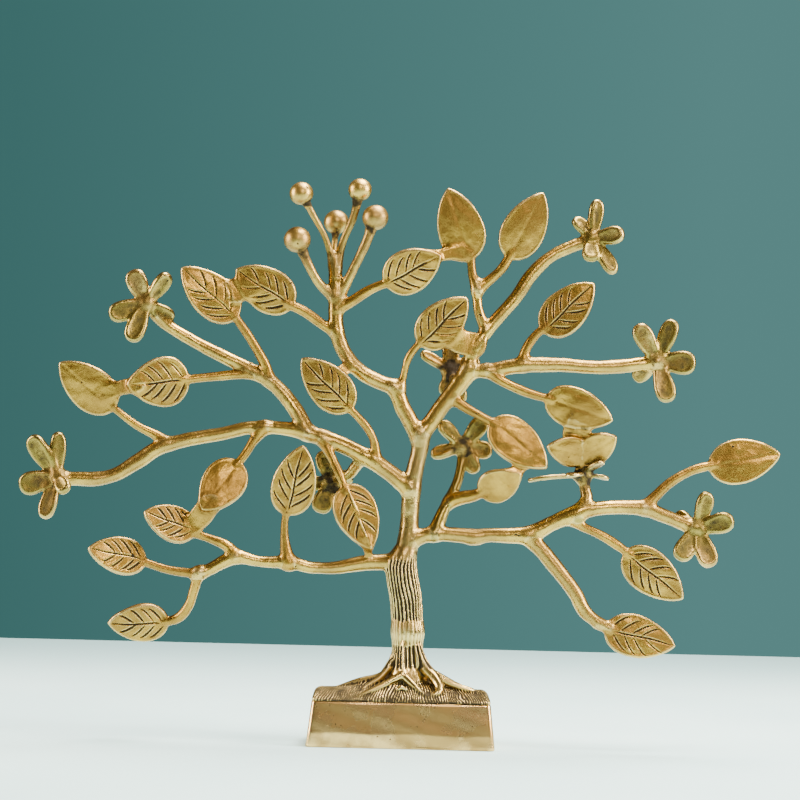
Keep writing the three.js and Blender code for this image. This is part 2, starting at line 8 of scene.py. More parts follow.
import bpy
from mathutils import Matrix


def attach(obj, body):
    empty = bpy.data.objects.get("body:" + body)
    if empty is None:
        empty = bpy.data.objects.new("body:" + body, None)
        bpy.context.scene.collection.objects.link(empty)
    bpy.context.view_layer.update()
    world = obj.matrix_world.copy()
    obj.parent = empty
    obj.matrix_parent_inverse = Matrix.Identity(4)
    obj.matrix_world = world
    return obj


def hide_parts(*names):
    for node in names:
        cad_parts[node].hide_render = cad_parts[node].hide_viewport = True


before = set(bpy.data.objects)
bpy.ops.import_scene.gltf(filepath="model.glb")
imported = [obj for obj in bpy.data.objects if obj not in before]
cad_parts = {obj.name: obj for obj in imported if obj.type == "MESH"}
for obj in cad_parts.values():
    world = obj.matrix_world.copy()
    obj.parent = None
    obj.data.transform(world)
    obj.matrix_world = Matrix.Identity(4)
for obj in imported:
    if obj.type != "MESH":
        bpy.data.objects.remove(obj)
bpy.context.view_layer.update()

import math
from typing import NamedTuple

import bpy
import numpy as np
import openvdb
from mathutils import Matrix, Vector

MM = 0.001
LEAN = math.radians(1.4)
LEAN_CENTRE_HEIGHT = 171.5
FRONT = np.array([0.0, -1.0, 0.0])
UP = np.array([0.0, 0.0, 1.0])

# Distances are sampled every VOXEL and kept up to BAND from a surface. FILLET is the reach of the
# brazing metal between two castings.
VOXEL = 0.36
BAND = 3.6
FILLET = 2.2

PLINTH = {
    "width": 93, "topWidth": 88, "depth": 44, "topDepth": 40, "height": 22.5, "wall": 4, "corner": 2.5,
}
PLINTH_MIDDLE = LEAN_CENTRE_HEIGHT * math.sin(LEAN)
PLINTH_FOOT = 7
MOUND_HALF = (PLINTH["topWidth"] / 2 - 0.2, PLINTH["topDepth"] / 2 - 0.2)
TRUNK_JOINT_HEIGHT = 56.2

# -------------------- routes, in millimetres
#
# A route lists points [x, y, z, diameter] along the middle of a casting, from its root outward.

TRUNK = [
    [3.8, 0, TRUNK_JOINT_HEIGHT, 16], [3, 0, 71.5, 16], [1.3, 0, 82, 16], [0.6, 0, 88, 15.6],
    [1.6, 0, 93, 13.5], [3.6, 0, 99, 10.6], [4.8, 0, 111.5, 9.2], [5.4, 0, 121.5, 9.2],
    [6.5, 0, 131.5, 9], [8.6, 0, 141.5, 8.4], [10, 0, 148, 8.6], [10.5, 0, 155, 9],
]

TRUNK_STUB = [
    [3.5, 0, 25, 26], [3.5, 0, 31, 22], [3.5, 0, 37, 18.5], [3.5, 0, 42, 17], [3.7, 0, 47.5, 15.6],
    [3.8, 0, TRUNK_JOINT_HEIGHT, 16],
]

ROOTS = [
    [[-2, 0, 42, 7], [-5, 0, 36.5, 6], [-10, -0.5, 33, 5.4], [-20, -1, 31, 4.6], [-31, -2, 28, 3]],
    [[2, -6.5, 50, 4], [1.6, -8.5, 42, 4.2], [1, -10, 36, 4.4], [-5, -12.5, 32.3, 3.6],
     [-12, -15, 28.8, 3], [-20, -17.5, 25.5, 2]],
    [[1.2, -9.5, 38, 4], [2, -10.5, 35, 4], [6, -13, 31, 3.4], [9.5, -15.5, 27.6, 2.8],
     [13, -17.5, 25, 2]],
    [[8, -4, 48, 6], [11.5, -6.5, 40, 6], [16.5, -9.5, 34.5, 5.4], [19.3, -13, 30, 4.6],
     [18.5, -15.5, 27, 3.8], [14.5, -17, 25, 2.4]],
    [[12, -6, 38.5, 4], [20, -6.5, 33, 3.6], [29, -7, 29, 2.8], [37, -8, 26.5, 2]],
    [[9, 0, 42, 7], [13.6, -0.5, 36.3, 5.4], [20, -1, 32.8, 5], [27.5, -1.5, 29.2, 4],
     [36, -2, 26.8, 2.6]],
    [[-4, -4, 41, 4.6], [-9.5, -7.5, 34, 3.6], [-16, -11, 29.8, 2.8], [-21, -15, 26, 2]],
    [[-2, -16, 25, 1.8], [-1.6, -16, 28, 2], [0.6, -16, 29.6, 2], [3, -16, 28.6, 1.6]],
    [[8, 4, 42, 7], [15, 9, 33, 5], [25, 15, 26, 3]],
    [[3.5, 6, 43, 6], [3, 11, 32.5, 4.5], [5, 17, 25.5, 3]],
    [[-1, 4, 42, 7], [-8, 9, 33, 5], [-18, 14, 26.5, 3]],
]

LIMBS = {
    "lower_left": [
        [1, 0, 91, 9], [-10, 0, 90.5, 8], [-19, 0, 90, 7.8], [-32.5, -1, 87.8, 6], [-45, -1.5, 88, 6],
        [-55, -2, 90.5, 6.3], [-70, -2.5, 91, 5.4], [-82, -3, 93, 7], [-95, -3.5, 87, 6.2],
        [-101, -4, 84.5, 6],
    ],
    "upper_left": [
        [5, 0, 127, 9], [-5, 0, 135, 8.5], [-15, 0.5, 141.8, 8.3], [-30, 1, 149.5, 8],
        [-46, 1.5, 155, 8], [-60, 2, 157.5, 6.6], [-75, 2.5, 157.8, 6.5], [-90, 2.5, 154.5, 6.5],
        [-107.5, 2, 151.5, 7], [-121, 1.5, 147.5, 7.5], [-131, 1, 141, 7.5], [-143, 0, 134, 6.8],
        [-155, -1, 132, 7.2], [-170, -2, 132.5, 6.5],
    ],
    "left_branch": [
        [-46, 1.5, 155, 8], [-51.7, 2, 165.6, 7.6], [-60.5, 3, 176.8, 7.3], [-70.8, 3.5, 184.5, 7],
        [-87.7, 4, 193, 6.4], [-102.7, 4.5, 200.6, 6], [-116, 4, 208.7, 6], [-122, 3, 213.7, 6],
        [-126.5, 2, 220.5, 6],
    ],
    "middle": [
        [9.4, 0, 152, 8], [4.8, 0, 161.5, 8], [1.4, 0, 167.5, 8], [-0.5, 0, 172.5, 8], [-3.5, 0, 178, 7.4],
    ],
    "berry": [
        [-1, 0, 177.6, 7.4], [-10, 0.5, 180.4, 7.6], [-20, 1, 186, 7.2], [-28.5, 1.5, 196.5, 7.2],
        [-32, 2, 209, 7.5], [-32, 2, 222, 7.5], [-32.5, 2, 232, 6.6], [-33, 2, 243, 5.5],
    ],
    "right_fork": [
        [10, 0, 154, 8.6], [15.2, 0, 160, 8.2], [21.7, 0, 169.2, 8.2], [28.5, 0.5, 178, 9],
        [35, 0.5, 187, 8.6],
    ],
    "upper_right": [
        [33.5, 0.5, 185, 8], [36.3, 0.5, 194.7, 6.8], [43.6, 1, 206.2, 6.4], [57.8, 2, 222.6, 6.4],
        [65.6, 2.5, 234, 6.4], [75, 3, 243.1, 6], [86, 3.5, 248.7, 6.2], [97.5, 4, 252.5, 6],
    ],
    "far_right": [
        [34, 0.5, 186.5, 7], [42.5, -0.5, 186, 6.6], [61.5, -1.5, 188.8, 7.8], [80, -2, 189, 7],
        [100, -2.5, 187.6, 6.6], [120, -3, 189.2, 6.8], [130, -3, 190, 6.8],
    ],
    "lower_right": [
        [4, 0, 101, 8.5], [16, 0, 104.5, 7.2], [31, -0.5, 103.8, 7.5], [37.5, -0.5, 103, 8.6],
        [45, -1, 104, 7], [63.5, -1.5, 104.2, 8.6], [76, -2, 110, 7.6], [87, -2.5, 114.5, 8.3],
        [100, -2.5, 117.5, 7], [120, -2, 117.5, 7.4], [132, -1.5, 113.5, 7], [149, -1, 106.5, 7],
    ],
    "drooping": [
        [64, -1.5, 103, 8], [71, -2.5, 96.2, 7.8], [79.7, -4, 85.2, 7.4], [86.8, -5, 75.7, 7.2],
        [91.4, -5.5, 66.8, 6.8], [97, -6, 61.8, 6], [104, -6, 58.2, 4.8],
    ],
    "twin_stem": [
        [43, 1, 206.5, 6], [39.5, 0, 215.5, 4.8], [38.6, -0.5, 223, 4.8], [38.6, -1, 230, 5.4],
    ],
}

# A berry is a ball of the given radius at the end of its stalk.
BERRIES = [
    (6, [[-32.5, 2, 238, 5], [-37, 1, 252, 3.3], [-42.5, 0, 262.5, 3.3], [-49.5, -1, 275, 3.3]]),
    (5.8, [[-32, 2, 234, 5], [-29, 1, 249.7, 3.9], [-23.5, 0, 262.7, 4], [-20, 0, 277, 3.8]]),
    (6.3, [[-33, 3, 239, 5], [-33, 8, 250, 3.2], [-32.3, 12, 262, 3.2]]),
    (6.6, [[-31, 2, 222, 6], [-23.9, 0, 236, 4.6], [-17.3, -1.5, 249.5, 4.6], [-12.4, -2, 262.8, 4.7]]),
    (6.7, [[-33, 2, 223, 6], [-40.7, 0, 230.2, 4.6], [-46.2, -1.5, 240.1, 4.6], [-51.4, -2, 251.7, 4.6]]),
]


class Flower(NamedTuple):
    """
    A hub and the tips of its five petals, [x, y, z, petal width], with a turn in degrees where a
    petal is rolled about its own length. Four flowers have a stalk of their own and a sootier hub.
    A flat flower lies level and shows its edge.
    """

    hub: list
    petals: list
    stalk: list = None
    soot: float = 0.35
    flat: bool = False


class Leaf(NamedTuple):
    """
    A blade from base to tip, its stalk, and sometimes a bridge of brazing metal to its neighbour.
    Turn is how far the blade is rolled about its own length, in degrees. It shows its engraved
    side, or in the style "back" its plain one. The style "ridged" has a raised midrib.
    """

    base: list
    tip: list
    width: float
    turn: float
    stalk: list
    bridge: list = None
    style: str = "front"


FLOWERS = {
    "left_branch": Flower([-127, 0, 220], [
        [-134.1, -3, 236.5, 10.5], [-115.5, -3, 234.7, 9, 35], [-145.2, -4, 213.5, 10.5],
        [-134.4, -6, 200.4, 10.2], [-114, 5, 212, 8.5],
    ]),
    "upper_left": Flower([-171, -2, 133.5], [
        [-184, -4, 153.5, 10.5, -20], [-170.5, -3, 155.5, 8, 20], [-189.5, -5, 128.3, 11.8],
        [-177, -6, 112.3, 9, 10], [-165, -12, 125.8, 8],
    ]),
    "upper_right": Flower([96.5, 4, 252.5], [
        [99.5, 3, 272.5, 8, 15], [112, -3, 255, 9], [107.5, -3, 234.8, 8, -20], [95, -4, 241, 9],
        [87.5, 5, 263.5, 7.5, 30],
    ]),
    "far_right": Flower([128.5, -3, 190.5], [
        [118, -7, 209, 10], [136.5, -5, 211.5, 9.5, -15], [147.2, -8, 189.5, 12],
        [133.3, -9, 170, 10.5], [117.5, 4, 182, 8.5],
    ]),
    "lower_right": Flower([148, -1, 107.5], [
        [153.5, -3, 125.5, 9, 15], [166, -6, 111.5, 10.5], [154.5, -8, 88.5, 10.5],
        [138.2, -7, 91.8, 10.5], [138, 6, 114.3, 8],
    ]),
    "behind_left": Flower([-34.5, 9, 130], [
        [-39.5, 8, 146.3, 9], [-41, 7, 115, 10.5], [-27, 12, 115, 10], [-24, 12, 134, 8],
        [-50, 11, 130, 8],
    ], soot=1.0, stalk=[[-18, 0.5, 143.5, 6], [-22, 4, 138.5, 5.5], [-26, 7, 134, 5], [-34.5, 9, 130, 5]]),
    "behind_middle": Flower([31.5, 10, 148], [
        [20, 9, 161, 8, 20], [43, 9, 163, 9.5], [15.5, 8, 144, 7.5, 30], [46.5, 11, 146, 9],
        [38.5, 9, 135, 8],
    ], soot=0.8, stalk=[
        [17, 0, 104.5, 8], [21.5, 2, 115.5, 6], [24.5, 4, 121, 6.2], [29.5, 7, 133, 4.8],
        [32, 10, 148, 4.6],
    ]),
    "behind_fork": Flower([25.5, 13, 186], [
        [10.5, 12, 196, 6.5, 30], [26, 14, 202, 9], [40, 15, 193, 9], [31, 13, 170, 9],
        [22.5, 12, 174, 8],
    ], soot=1.0, stalk=[[29.5, 0.5, 180.5, 6], [27, 7, 182.5, 5], [25, 13, 185.5, 4.6]]),
    "lower_right_stalk": Flower([91.5, 1, 133.5], [
        [64, 3, 131.2, 9], [104.5, 5, 131.8, 9], [101, -8, 140.5, 7], [84, -12, 133.5, 8],
        [92, 19, 134, 9],
    ], flat=True, soot=0.9, stalk=[
        [88, -2.5, 113, 8], [93, -1.5, 121.5, 6.4], [92.5, 0, 127, 5.4], [91.5, 1, 134, 6],
    ]),
}

LEAVES = {
    "left_branch_1": Leaf([-81.7, -2, 212], [-109, -5, 237.5], 21.7, 8, [
        [-65, 3, 181, 6], [-68.5, 1.5, 191, 5], [-76, 0, 204, 4.6], [-84, -2, 215, 4],
    ]),
    "left_branch_2": Leaf([-105.5, 0, 181.6], [-135.8, -8, 179], 25.5, -10, [
        [-71, 3.5, 184.5, 6], [-81, 2.5, 184.4, 4.7], [-95, 1, 183.1, 4.4], [-109, -1, 181.5, 4],
    ]),
    "berry_1": Leaf([-53.5, -1, 218.5], [-82, -3, 237], 22.5, -8, [
        [-32, 2, 205.5, 6], [-37.5, 1.5, 208.5, 5], [-47.5, 0, 215.5, 5], [-57, -1.5, 220, 4],
    ], bridge=[[-74, -2, 228, 9], [-83, -2.5, 226, 12], [-92, -3, 224, 9]]),
    "berry_2": Leaf([-7.5, -2, 229.5], [20.5, -8, 243.5], 22.5, 12, [
        [-32, 2, 217, 6], [-25, 1, 220.5, 5.4], [-15, -0.5, 226.8, 4.8], [-5, -2, 230.5, 4],
    ]),
    "upper_left_1": Leaf([-142.8, 0, 167], [-169.8, -4, 190.3], 22, -6, [
        [-116, 2, 149.8, 6], [-122.5, 2, 154, 5], [-132.5, 1, 159.3, 3.8], [-145, 0, 169, 3.4],
    ], style="back", bridge=[[-148, -1, 174.5, 7], [-139, -4, 177.5, 7.5], [-131, -7, 179, 8]]),
    "upper_left_2": Leaf([-79.9, -1, 140.5], [-98.3, -8, 116.4], 22, 5, [
        [-67.8, 2, 158, 7], [-73.4, 1, 151, 4.8], [-76.6, 0, 145.5, 4.4], [-81.5, -1.5, 139, 4],
    ], style="back"),
    "upper_left_3": Leaf([-27.5, -5, 129], [-14.2, -5, 97], 22, -12, [
        [-39, 1, 152.5, 7.5], [-34.5, -2, 143.5, 4.6], [-30.5, -4, 135, 4.4], [-27, -5.2, 126, 4],
    ], style="ridged", bridge=[[-17, -5.5, 102, 4], [-16, -3.5, 96, 4], [-15, -1, 92, 4]]),
    "upper_left_4": Leaf([-24.1, -5, 166.5], [-48.9, -6, 192], 21.5, -6, [
        [-12, 0, 140.5, 6], [-13, -2, 151, 4], [-17.5, -4, 159, 4], [-26, -5.2, 168, 3.6],
    ], bridge=[[-33, -6, 182, 6], [-30, -4, 185, 6], [-26.5, -1, 188, 6]]),
    "lower_left_1": Leaf([-102.3, -2, 105.3], [-127, -10, 115.7], 19, 24, [
        [-82, -3, 94, 7], [-86, -3, 98.5, 5.2], [-94, -2.5, 102, 4.4], [-106, -2.5, 106, 3.8],
    ], bridge=[[-106.5, -3, 107, 7], [-100, -4.5, 112.3, 11], [-94.7, -7, 119.3, 11]]),
    "lower_left_2": Leaf([-126.3, -5, 91.2], [-154.2, -13, 97.7], 19.3, 20, [
        [-99, -4, 85.5, 6], [-106, -4, 85.5, 4.8], [-117.5, -4.5, 87.5, 4], [-130, -5.5, 92, 3.8],
    ]),
    "lower_left_3": Leaf([-115.7, 3, 60.5], [-145.5, -2, 60.5], 20, -18, [
        [-100, -4, 86, 6], [-102.5, -3, 77, 5], [-105.5, -1, 68.5, 5], [-111, 1.5, 62.5, 4.8],
        [-120, 2.5, 60, 4],
    ]),
    "lower_left_4": Leaf([-56.4, -4, 114], [-47.9, -8, 148.8], 22.3, 5, [
        [-55.5, -2, 90, 8.5], [-57, -2.5, 97.5, 5.6], [-57.5, -3.5, 108, 4], [-56.5, -4.2, 117, 3.6],
    ]),
    "middle_1": Leaf([9.8, -4, 198.8], [33.5, -7, 222.2], 21.5, 8, [
        [0, 0, 177, 5], [2, -1.5, 184.5, 3.6], [4.5, -3, 193, 3.8], [11, -4.2, 201.5, 3.6],
    ], bridge=[[24, -5, 204, 10], [30, -4, 200.5, 12], [37, -1, 199, 12]]),
    "twin_stem_1": Leaf([35.3, -2, 241.5], [24, -6, 277], 23.5, -4, [
        [39, -1, 226.5, 5.5], [36.3, -1.5, 233.5, 4.4], [35.5, -2, 245, 4.4],
    ], style="back", bridge=[[31, -2.5, 245, 7], [24, -4.5, 244.3, 6], [15, -7, 242.8, 6]]),
    "twin_stem_2": Leaf([54.5, -2, 242.5], [71.5, -6, 275], 22, 8, [
        [39, -1, 226.5, 5.5], [47.5, -1.5, 233.8, 4.6], [51.5, -2, 238, 4.6], [56, -2.2, 245.5, 4],
    ], style="back"),
    "far_right_1": Leaf([71.5, -3, 205.2], [97, -6, 229.5], 21.5, -8, [
        [61.5, -1.5, 189, 7], [62.8, -2, 196.5, 4.8], [68, -2.8, 204, 4.2], [73.5, -3.2, 208, 3.6],
    ]),
    "far_right_2": Leaf([72.5, -5, 172.5], [106, -8, 161], 20.5, 10, [
        [43, -0.5, 186.5, 6], [51.5, -2.5, 180.5, 5], [63, -4, 175.3, 4.8], [76, -5.2, 171.3, 4],
    ], style="back"),
    "right_fork_1": Leaf([45.5, -4, 161], [73, -7, 137.5], 21.5, -8, [
        [25, 0, 173, 6], [33, -1.5, 167.5, 4.8], [39, -3, 164, 4.4], [48, -4.2, 159, 4],
    ], style="back"),
    "lower_right_1": Leaf([40, -1, 124.4], [60, -9, 134.9], 18, 20, [
        [25, 4, 120.5, 6.5], [31, 1.5, 122.6, 7], [36, 0, 123.6, 6.2], [43, -1.8, 126, 4.5],
    ], style="back", bridge=[[55, -7, 133, 6], [61, -6.5, 139, 6], [64, -6, 144, 5]]),
    "lower_right_2": Leaf([94, -2, 144], [72.8, -7, 148.2], 15.5, -12, [
        [91, 1, 136, 5], [89, -1, 140, 4], [86, -2, 141.5, 4],
    ], style="back"),
    "lower_right_3": Leaf([90.5, -2, 143], [107.6, -7, 153.2], 15.5, 12, [
        [92, 1, 136, 5], [94, -1, 140.5, 4], [97, -2, 142.5, 4],
    ], style="back", bridge=[[90.5, -2, 146, 9], [87.5, -3.5, 153, 13], [89.5, -6.5, 160, 12]]),
    "lower_right_4": Leaf([154, -2, 137.8], [189.5, -5, 144.4], 22.5, -5, [
        [122, -2, 117.5, 7], [127.5, -2, 123.5, 5.4], [136, -2, 131, 5], [147, -2, 136.8, 4.6],
        [158, -2.4, 139.3, 4],
    ], style="back"),
    "lower_right_5": Leaf([112, -4, 96], [140.5, -7, 72.5], 22, 8, [
        [84, -2.5, 112.4, 6], [91, -3, 108.2, 4.6], [103, -3.5, 102.5, 4.8], [115, -4.3, 94, 4],
    ]),
    "drooping_1": Leaf([101.7, -6, 57.8], [136.3, -9, 49.3], 21.5, -6, [
        [98, -6, 60, 4.6], [106, -6.3, 56.5, 4],
    ]),
}

# -------------------- fields of distance


def smooth_step(value, low, high):
    """A soft rise from 0 at low to 1 at high. Low may be the greater, and then it falls."""
    share = np.clip((value - low) / (high - low), 0, 1)
    return share * share * (3 - 2 * share)


def smooth_min(a, b, reach):
    """The lesser of two distances, rounded where they are within reach of each other."""
    share = np.clip(0.5 + (b - a) / (2 * reach), 0, 1)
    return b + (a - b) * share - reach * share * (1 - share)


def spline(route, spacing):
    """A Catmull-Rom curve through the rows of a route, sampled about every spacing millimetres."""
    rows = np.array(route, float)
    padded = np.vstack([2 * rows[0] - rows[1], rows, 2 * rows[-1] - rows[-2]])
    out = []
    for i in range(1, len(padded) - 2):
        p0, p1, p2, p3 = padded[i - 1:i + 3]
        count = max(2, int(np.linalg.norm((p2 - p1)[:3]) / spacing) + 1)
        for t in np.linspace(0, 1, count, endpoint=False):
            out.append(0.5 * (2 * p1 + (p2 - p0) * t + (2 * p0 - 5 * p1 + 4 * p2 - p3) * t ** 2
                              + (3 * p1 - p0 - 3 * p2 + p3) * t ** 3))
    out.append(rows[-1])
    return np.array(out)


def along_chords(line, u, v):
    """For each point u, v: its distance to a line's nearest chord, that chord, and how far along."""
    nearest = np.full(np.broadcast(u, v).shape, 1e3, np.float32)
    chord = np.zeros_like(nearest)
    for i, (a, b) in enumerate(zip(line[:-1], line[1:])):
        du, dv = b[0] - a[0], b[1] - a[1]
        t = np.clip(((u - a[0]) * du + (v - a[1]) * dv) / (du * du + dv * dv + 1e-9), 0, 1)
        gap = np.hypot(u - a[0] - t * du, v - a[1] - t * dv)
        closer = gap < nearest
        nearest = np.where(closer, gap, nearest)
        chord = np.where(closer, i + t, chord)
    return nearest, chord


class Block:
    """
    A box of samples on one lattice that all blocks share. Its field holds distances in millimetres,
    and its stain says how much black oxide fills the surface nearby, from 0 to 1.
    """

    def __init__(self, low, high):
        self.first = np.floor(np.array(low) / VOXEL).astype(int)
        self.shape = np.ceil(np.array(high) / VOXEL).astype(int) - self.first + 1
        self.field = np.full(self.shape, BAND, np.float32)
        self.stain = np.zeros(self.shape, np.float32)

    def window(self, low, high):
        """Slices of the part of this block between two corners."""
        start = np.clip(np.floor(np.array(low) / VOXEL).astype(int) - self.first, 0, self.shape)
        stop = np.clip(np.ceil(np.array(high) / VOXEL).astype(int) + 1 - self.first, 0, self.shape)
        return tuple(slice(a, b) for a, b in zip(start, stop))

    def grids(self, window=None):
        """Open x, y, z coordinate grids of a window, or of the whole block."""
        window = window or [slice(0, n) for n in self.shape]
        axes = [
            ((np.arange(part.start, part.stop) + self.first[i]) * VOXEL).astype(np.float32)
            for i, part in enumerate(window)
        ]
        return np.ix_(*axes)

    def merge(self, window, gap, blend, stain=0.0):
        """Takes in a field of distances and its stain, blended into what is there."""
        self.stain[window] = np.maximum(self.stain[window], stain)
        self.field[window] = smooth_min(gap, self.field[window], blend)

    def shared(self, other):
        """The two windows, one in each block, of the region that both blocks hold, or None."""
        first = np.maximum(self.first, other.first)
        last = np.minimum(self.first + self.shape, other.first + other.shape)
        if np.any(last <= first):
            return None
        return (
            tuple(slice(a, b) for a, b in zip(first - self.first, last - self.first)),
            tuple(slice(a, b) for a, b in zip(first - other.first, last - other.first)),
        )


class Unevenness:
    """Smooth random heights from -1 to 1, spacing millimetres apart, over the whole tree."""

    ORIGIN = (-200, -35, 0)
    EXTENT = (400, 70, 300)

    def __init__(self, seed, *spacing):
        self.spacing = spacing
        counts = [int(size / step) + 4 for size, step in zip(self.EXTENT, spacing)]
        self.lattice = np.random.default_rng(seed).uniform(-1, 1, counts).astype(np.float32)

    def over(self, grids):
        values = self.lattice
        for axis, grid in enumerate(grids):
            places = (grid - self.ORIGIN[axis]) / self.spacing[axis]
            places = np.clip(places, 0, self.lattice.shape[axis] - 1.001)
            base = places.astype(int)
            share = smooth_step(places - base, 0, 1)
            base = base.ravel()
            values = np.take(values, base, axis) * (1 - share) + np.take(values, base + 1, axis) * share
        return values


SWELL = Unevenness(1, 8, 8, 8)
HAMMER = Unevenness(2, 3, 3, 3)
BLOTS = Unevenness(10, 3, 3, 3)
PATCHES = Unevenness(3, 5, 5, 5)


class Strip:
    """Metal along a route, and the corners of the box it is in."""

    def __init__(self, route, spacing, blend):
        self.line, self.blend = spline(route, spacing), blend
        margin = self.line[:, 3:].max() / 2 + BAND
        self.low = self.line[:, :3].min(0) - margin
        self.high = self.line[:, :3].max(0) + margin


class Rod(Strip):
    """A round bar along a route."""

    def __init__(self, route, blend=1.6):
        super().__init__(route, 2.0, blend)

    def add_to(self, block):
        own = np.full(block.shape, BAND, np.float32)
        for a, b in zip(self.line[:-1], self.line[1:]):
            reach = max(a[3], b[3]) / 2 + BAND
            window = block.window(np.minimum(a, b)[:3] - reach, np.maximum(a, b)[:3] + reach)
            x, y, z = block.grids(window)
            step = (b - a)[:3]
            length = max(float(step @ step), 1e-6)
            dx, dy, dz = x - a[0], y - a[1], z - a[2]
            t = np.clip((dx * step[0] + dy * step[1] + dz * step[2]) / length, 0, 1)
            gap = np.sqrt((dx - t * step[0]) ** 2 + (dy - t * step[1]) ** 2 + (dz - t * step[2]) ** 2)
            part = own[window]
            np.minimum(part, gap - (a[3] + (b[3] - a[3]) * t) / 2, out=part)
        block.field = smooth_min(own, block.field, self.blend)


class Ball:
    """A sphere, squashed a little along some axes, with blots of soot on and around it."""

    SOOTIEST = 0.65
    SOOT_REACH = 1.3

    def __init__(self, centre, radius, squash=(1, 1, 1), blend=1.0, soot=0.0):
        self.centre, self.radius, self.squash = np.array(centre, float), radius, squash
        self.blend, self.soot = blend, soot
        self.low = self.centre - radius - BAND
        self.high = self.centre + radius + BAND

    def add_to(self, block):
        window = block.window(self.low, self.high)
        offsets = [((g - c) * s) ** 2 for g, c, s in zip(block.grids(window), self.centre, self.squash)]
        gap = np.sqrt(offsets[0] + offsets[1] + offsets[2]) - self.radius
        blots = smooth_step(BLOTS.over(block.grids(window)), -1.1, 0.7)
        soot = self.SOOTIEST * self.soot * blots * np.clip(self.SOOT_REACH - gap / BAND, 0, 1)
        block.merge(window, gap, self.blend, soot)


def rounded_plate(edge, face, radius):
    """Distance to a plate, from the distances to its edge and its face, with its rim rounded."""
    a, b = edge + radius, face + radius
    outside = np.sqrt(np.maximum(a, 0) ** 2 + np.maximum(b, 0) ** 2)
    return outside + np.minimum(np.maximum(a, b), 0) - radius


class Web(Strip):
    """A flat web of brazing metal along points [x, y, z, width]."""

    HALF_THICKNESS = 1.2

    def __init__(self, route):
        super().__init__(route, 1.5, 3.2)

    def add_to(self, block):
        window = block.window(self.low, self.high)
        x, y, z = block.grids(window)
        gap, chord = along_chords(self.line[:, [0, 2]], x, z)
        stations = np.arange(len(self.line))
        height = np.interp(chord, stations, self.line[:, 1])
        edge = gap - np.interp(chord, stations, self.line[:, 3]) / 2
        face = np.abs(y - height) - self.HALF_THICKNESS
        gap = rounded_plate(edge, face, 1.0).astype(np.float32)
        block.merge(window, gap, self.blend)


class Blade:
    """
    A thin cast plate from base to tip: a leaf or a petal.

    outline(s) gives the share of half the width at s along it. relief(along, across, edge) gives,
    on a flat chart in millimetres, how high the front and back faces stand over their plain level
    and how much black oxide each of them holds.
    """

    CHART_STEP = 0.2

    def __init__(self, base, tip, width, outline, relief, thickness=2.4, rim=1.0, bow=0.0, cup=0.0,
                 turn=0.0, facing=FRONT, blend=1.2):
        base, tip = np.array(base, float), np.array(tip, float)
        self.length = float(np.linalg.norm(tip - base))
        self.along = (tip - base) / self.length
        level = facing - self.along * float(facing @ self.along)
        level /= np.linalg.norm(level)
        angle = math.radians(turn)
        self.normal = level * math.cos(angle) + np.cross(self.along, level) * math.sin(angle)
        self.across = np.cross(self.along, self.normal)
        self.base, self.half, self.half_thickness = base, width / 2, thickness / 2
        self.rim, self.bow, self.cup, self.blend = rim, bow, cup, blend
        sides = [self.across * self.half, -self.across * self.half]
        corners = [base + side for side in sides] + [tip + side for side in sides]
        margin = BAND + self.half_thickness + abs(bow) + abs(cup) + 1
        self.low = np.min(corners, 0) - margin
        self.high = np.max(corners, 0) + margin
        self.make_charts(outline, relief)

    def make_charts(self, outline, relief):
        """Charts of the signed distance to the outline, then of what relief gives."""
        margin = BAND + 1
        self.chart_start = np.array([-margin, -self.half - margin])
        along = np.arange(-margin, self.length + margin, self.CHART_STEP)
        across = np.arange(-self.half - margin, self.half + margin, self.CHART_STEP)
        s, v = np.meshgrid(along, across, indexing="ij")
        places = 0.5 - 0.5 * np.cos(np.linspace(0, math.pi, 33))
        halves = self.half * outline(places)
        there = np.stack([places * self.length, halves], axis=1)
        back = np.stack([places * self.length, -halves], axis=1)[::-1]
        distance = along_chords(np.vstack([there, back]), s, v)[0]
        inside = (s > 0) & (s < self.length)
        inside &= np.abs(v) < self.half * outline(np.clip(s / self.length, 0, 1))
        edge = np.where(inside, -distance, distance)
        self.charts = [np.float32(chart) for chart in (edge, *relief(s, v, edge))]

    def read_charts(self, s, v):
        """All the charts at points s along and v across the blade."""
        rows, columns = self.charts[0].shape
        a = np.clip((s - self.chart_start[0]) / self.CHART_STEP, 0, rows - 1.001)
        b = np.clip((v - self.chart_start[1]) / self.CHART_STEP, 0, columns - 1.001)
        i, j = a.astype(np.int32), b.astype(np.int32)
        fa, fb = np.float32(a - i), np.float32(b - j)
        return [
            (chart[i, j] * (1 - fa) + chart[i + 1, j] * fa) * (1 - fb)
            + (chart[i, j + 1] * (1 - fa) + chart[i + 1, j + 1] * fa) * fb
            for chart in self.charts
        ]

    def add_to(self, block):
        window = block.window(self.low, self.high)
        x, y, z = block.grids(window)
        dx, dy, dz = x - self.base[0], y - self.base[1], z - self.base[2]
        s, v, w = (
            np.float32(dx * axis[0] + dy * axis[1] + dz * axis[2])
            for axis in (self.along, self.across, self.normal)
        )
        share = np.clip(s / self.length, 0, 1)
        w -= self.bow * 4 * share * (1 - share) + self.cup * (v / self.half) ** 2
        edge, front, back, front_stain, back_stain = self.read_charts(s, v)
        face = np.maximum(w - front, -w - back) - self.half_thickness
        gap = np.minimum(rounded_plate(edge, face, self.rim), BAND)
        stain = np.where(w > 0, front_stain, back_stain) * np.clip(1.6 - 2 * np.abs(gap), 0, 1)
        block.merge(window, gap, self.blend, stain)


# -------------------- outlines and relief of blades


def leaf_outline(s):
    """Share of half a leaf's width: round at the base, pointed at the tip."""
    widest, base_roundness, tip_roundness = 0.4, 0.5, 0.76
    return (s / widest) ** base_roundness * ((1 - s) / (1 - widest)) ** tip_roundness


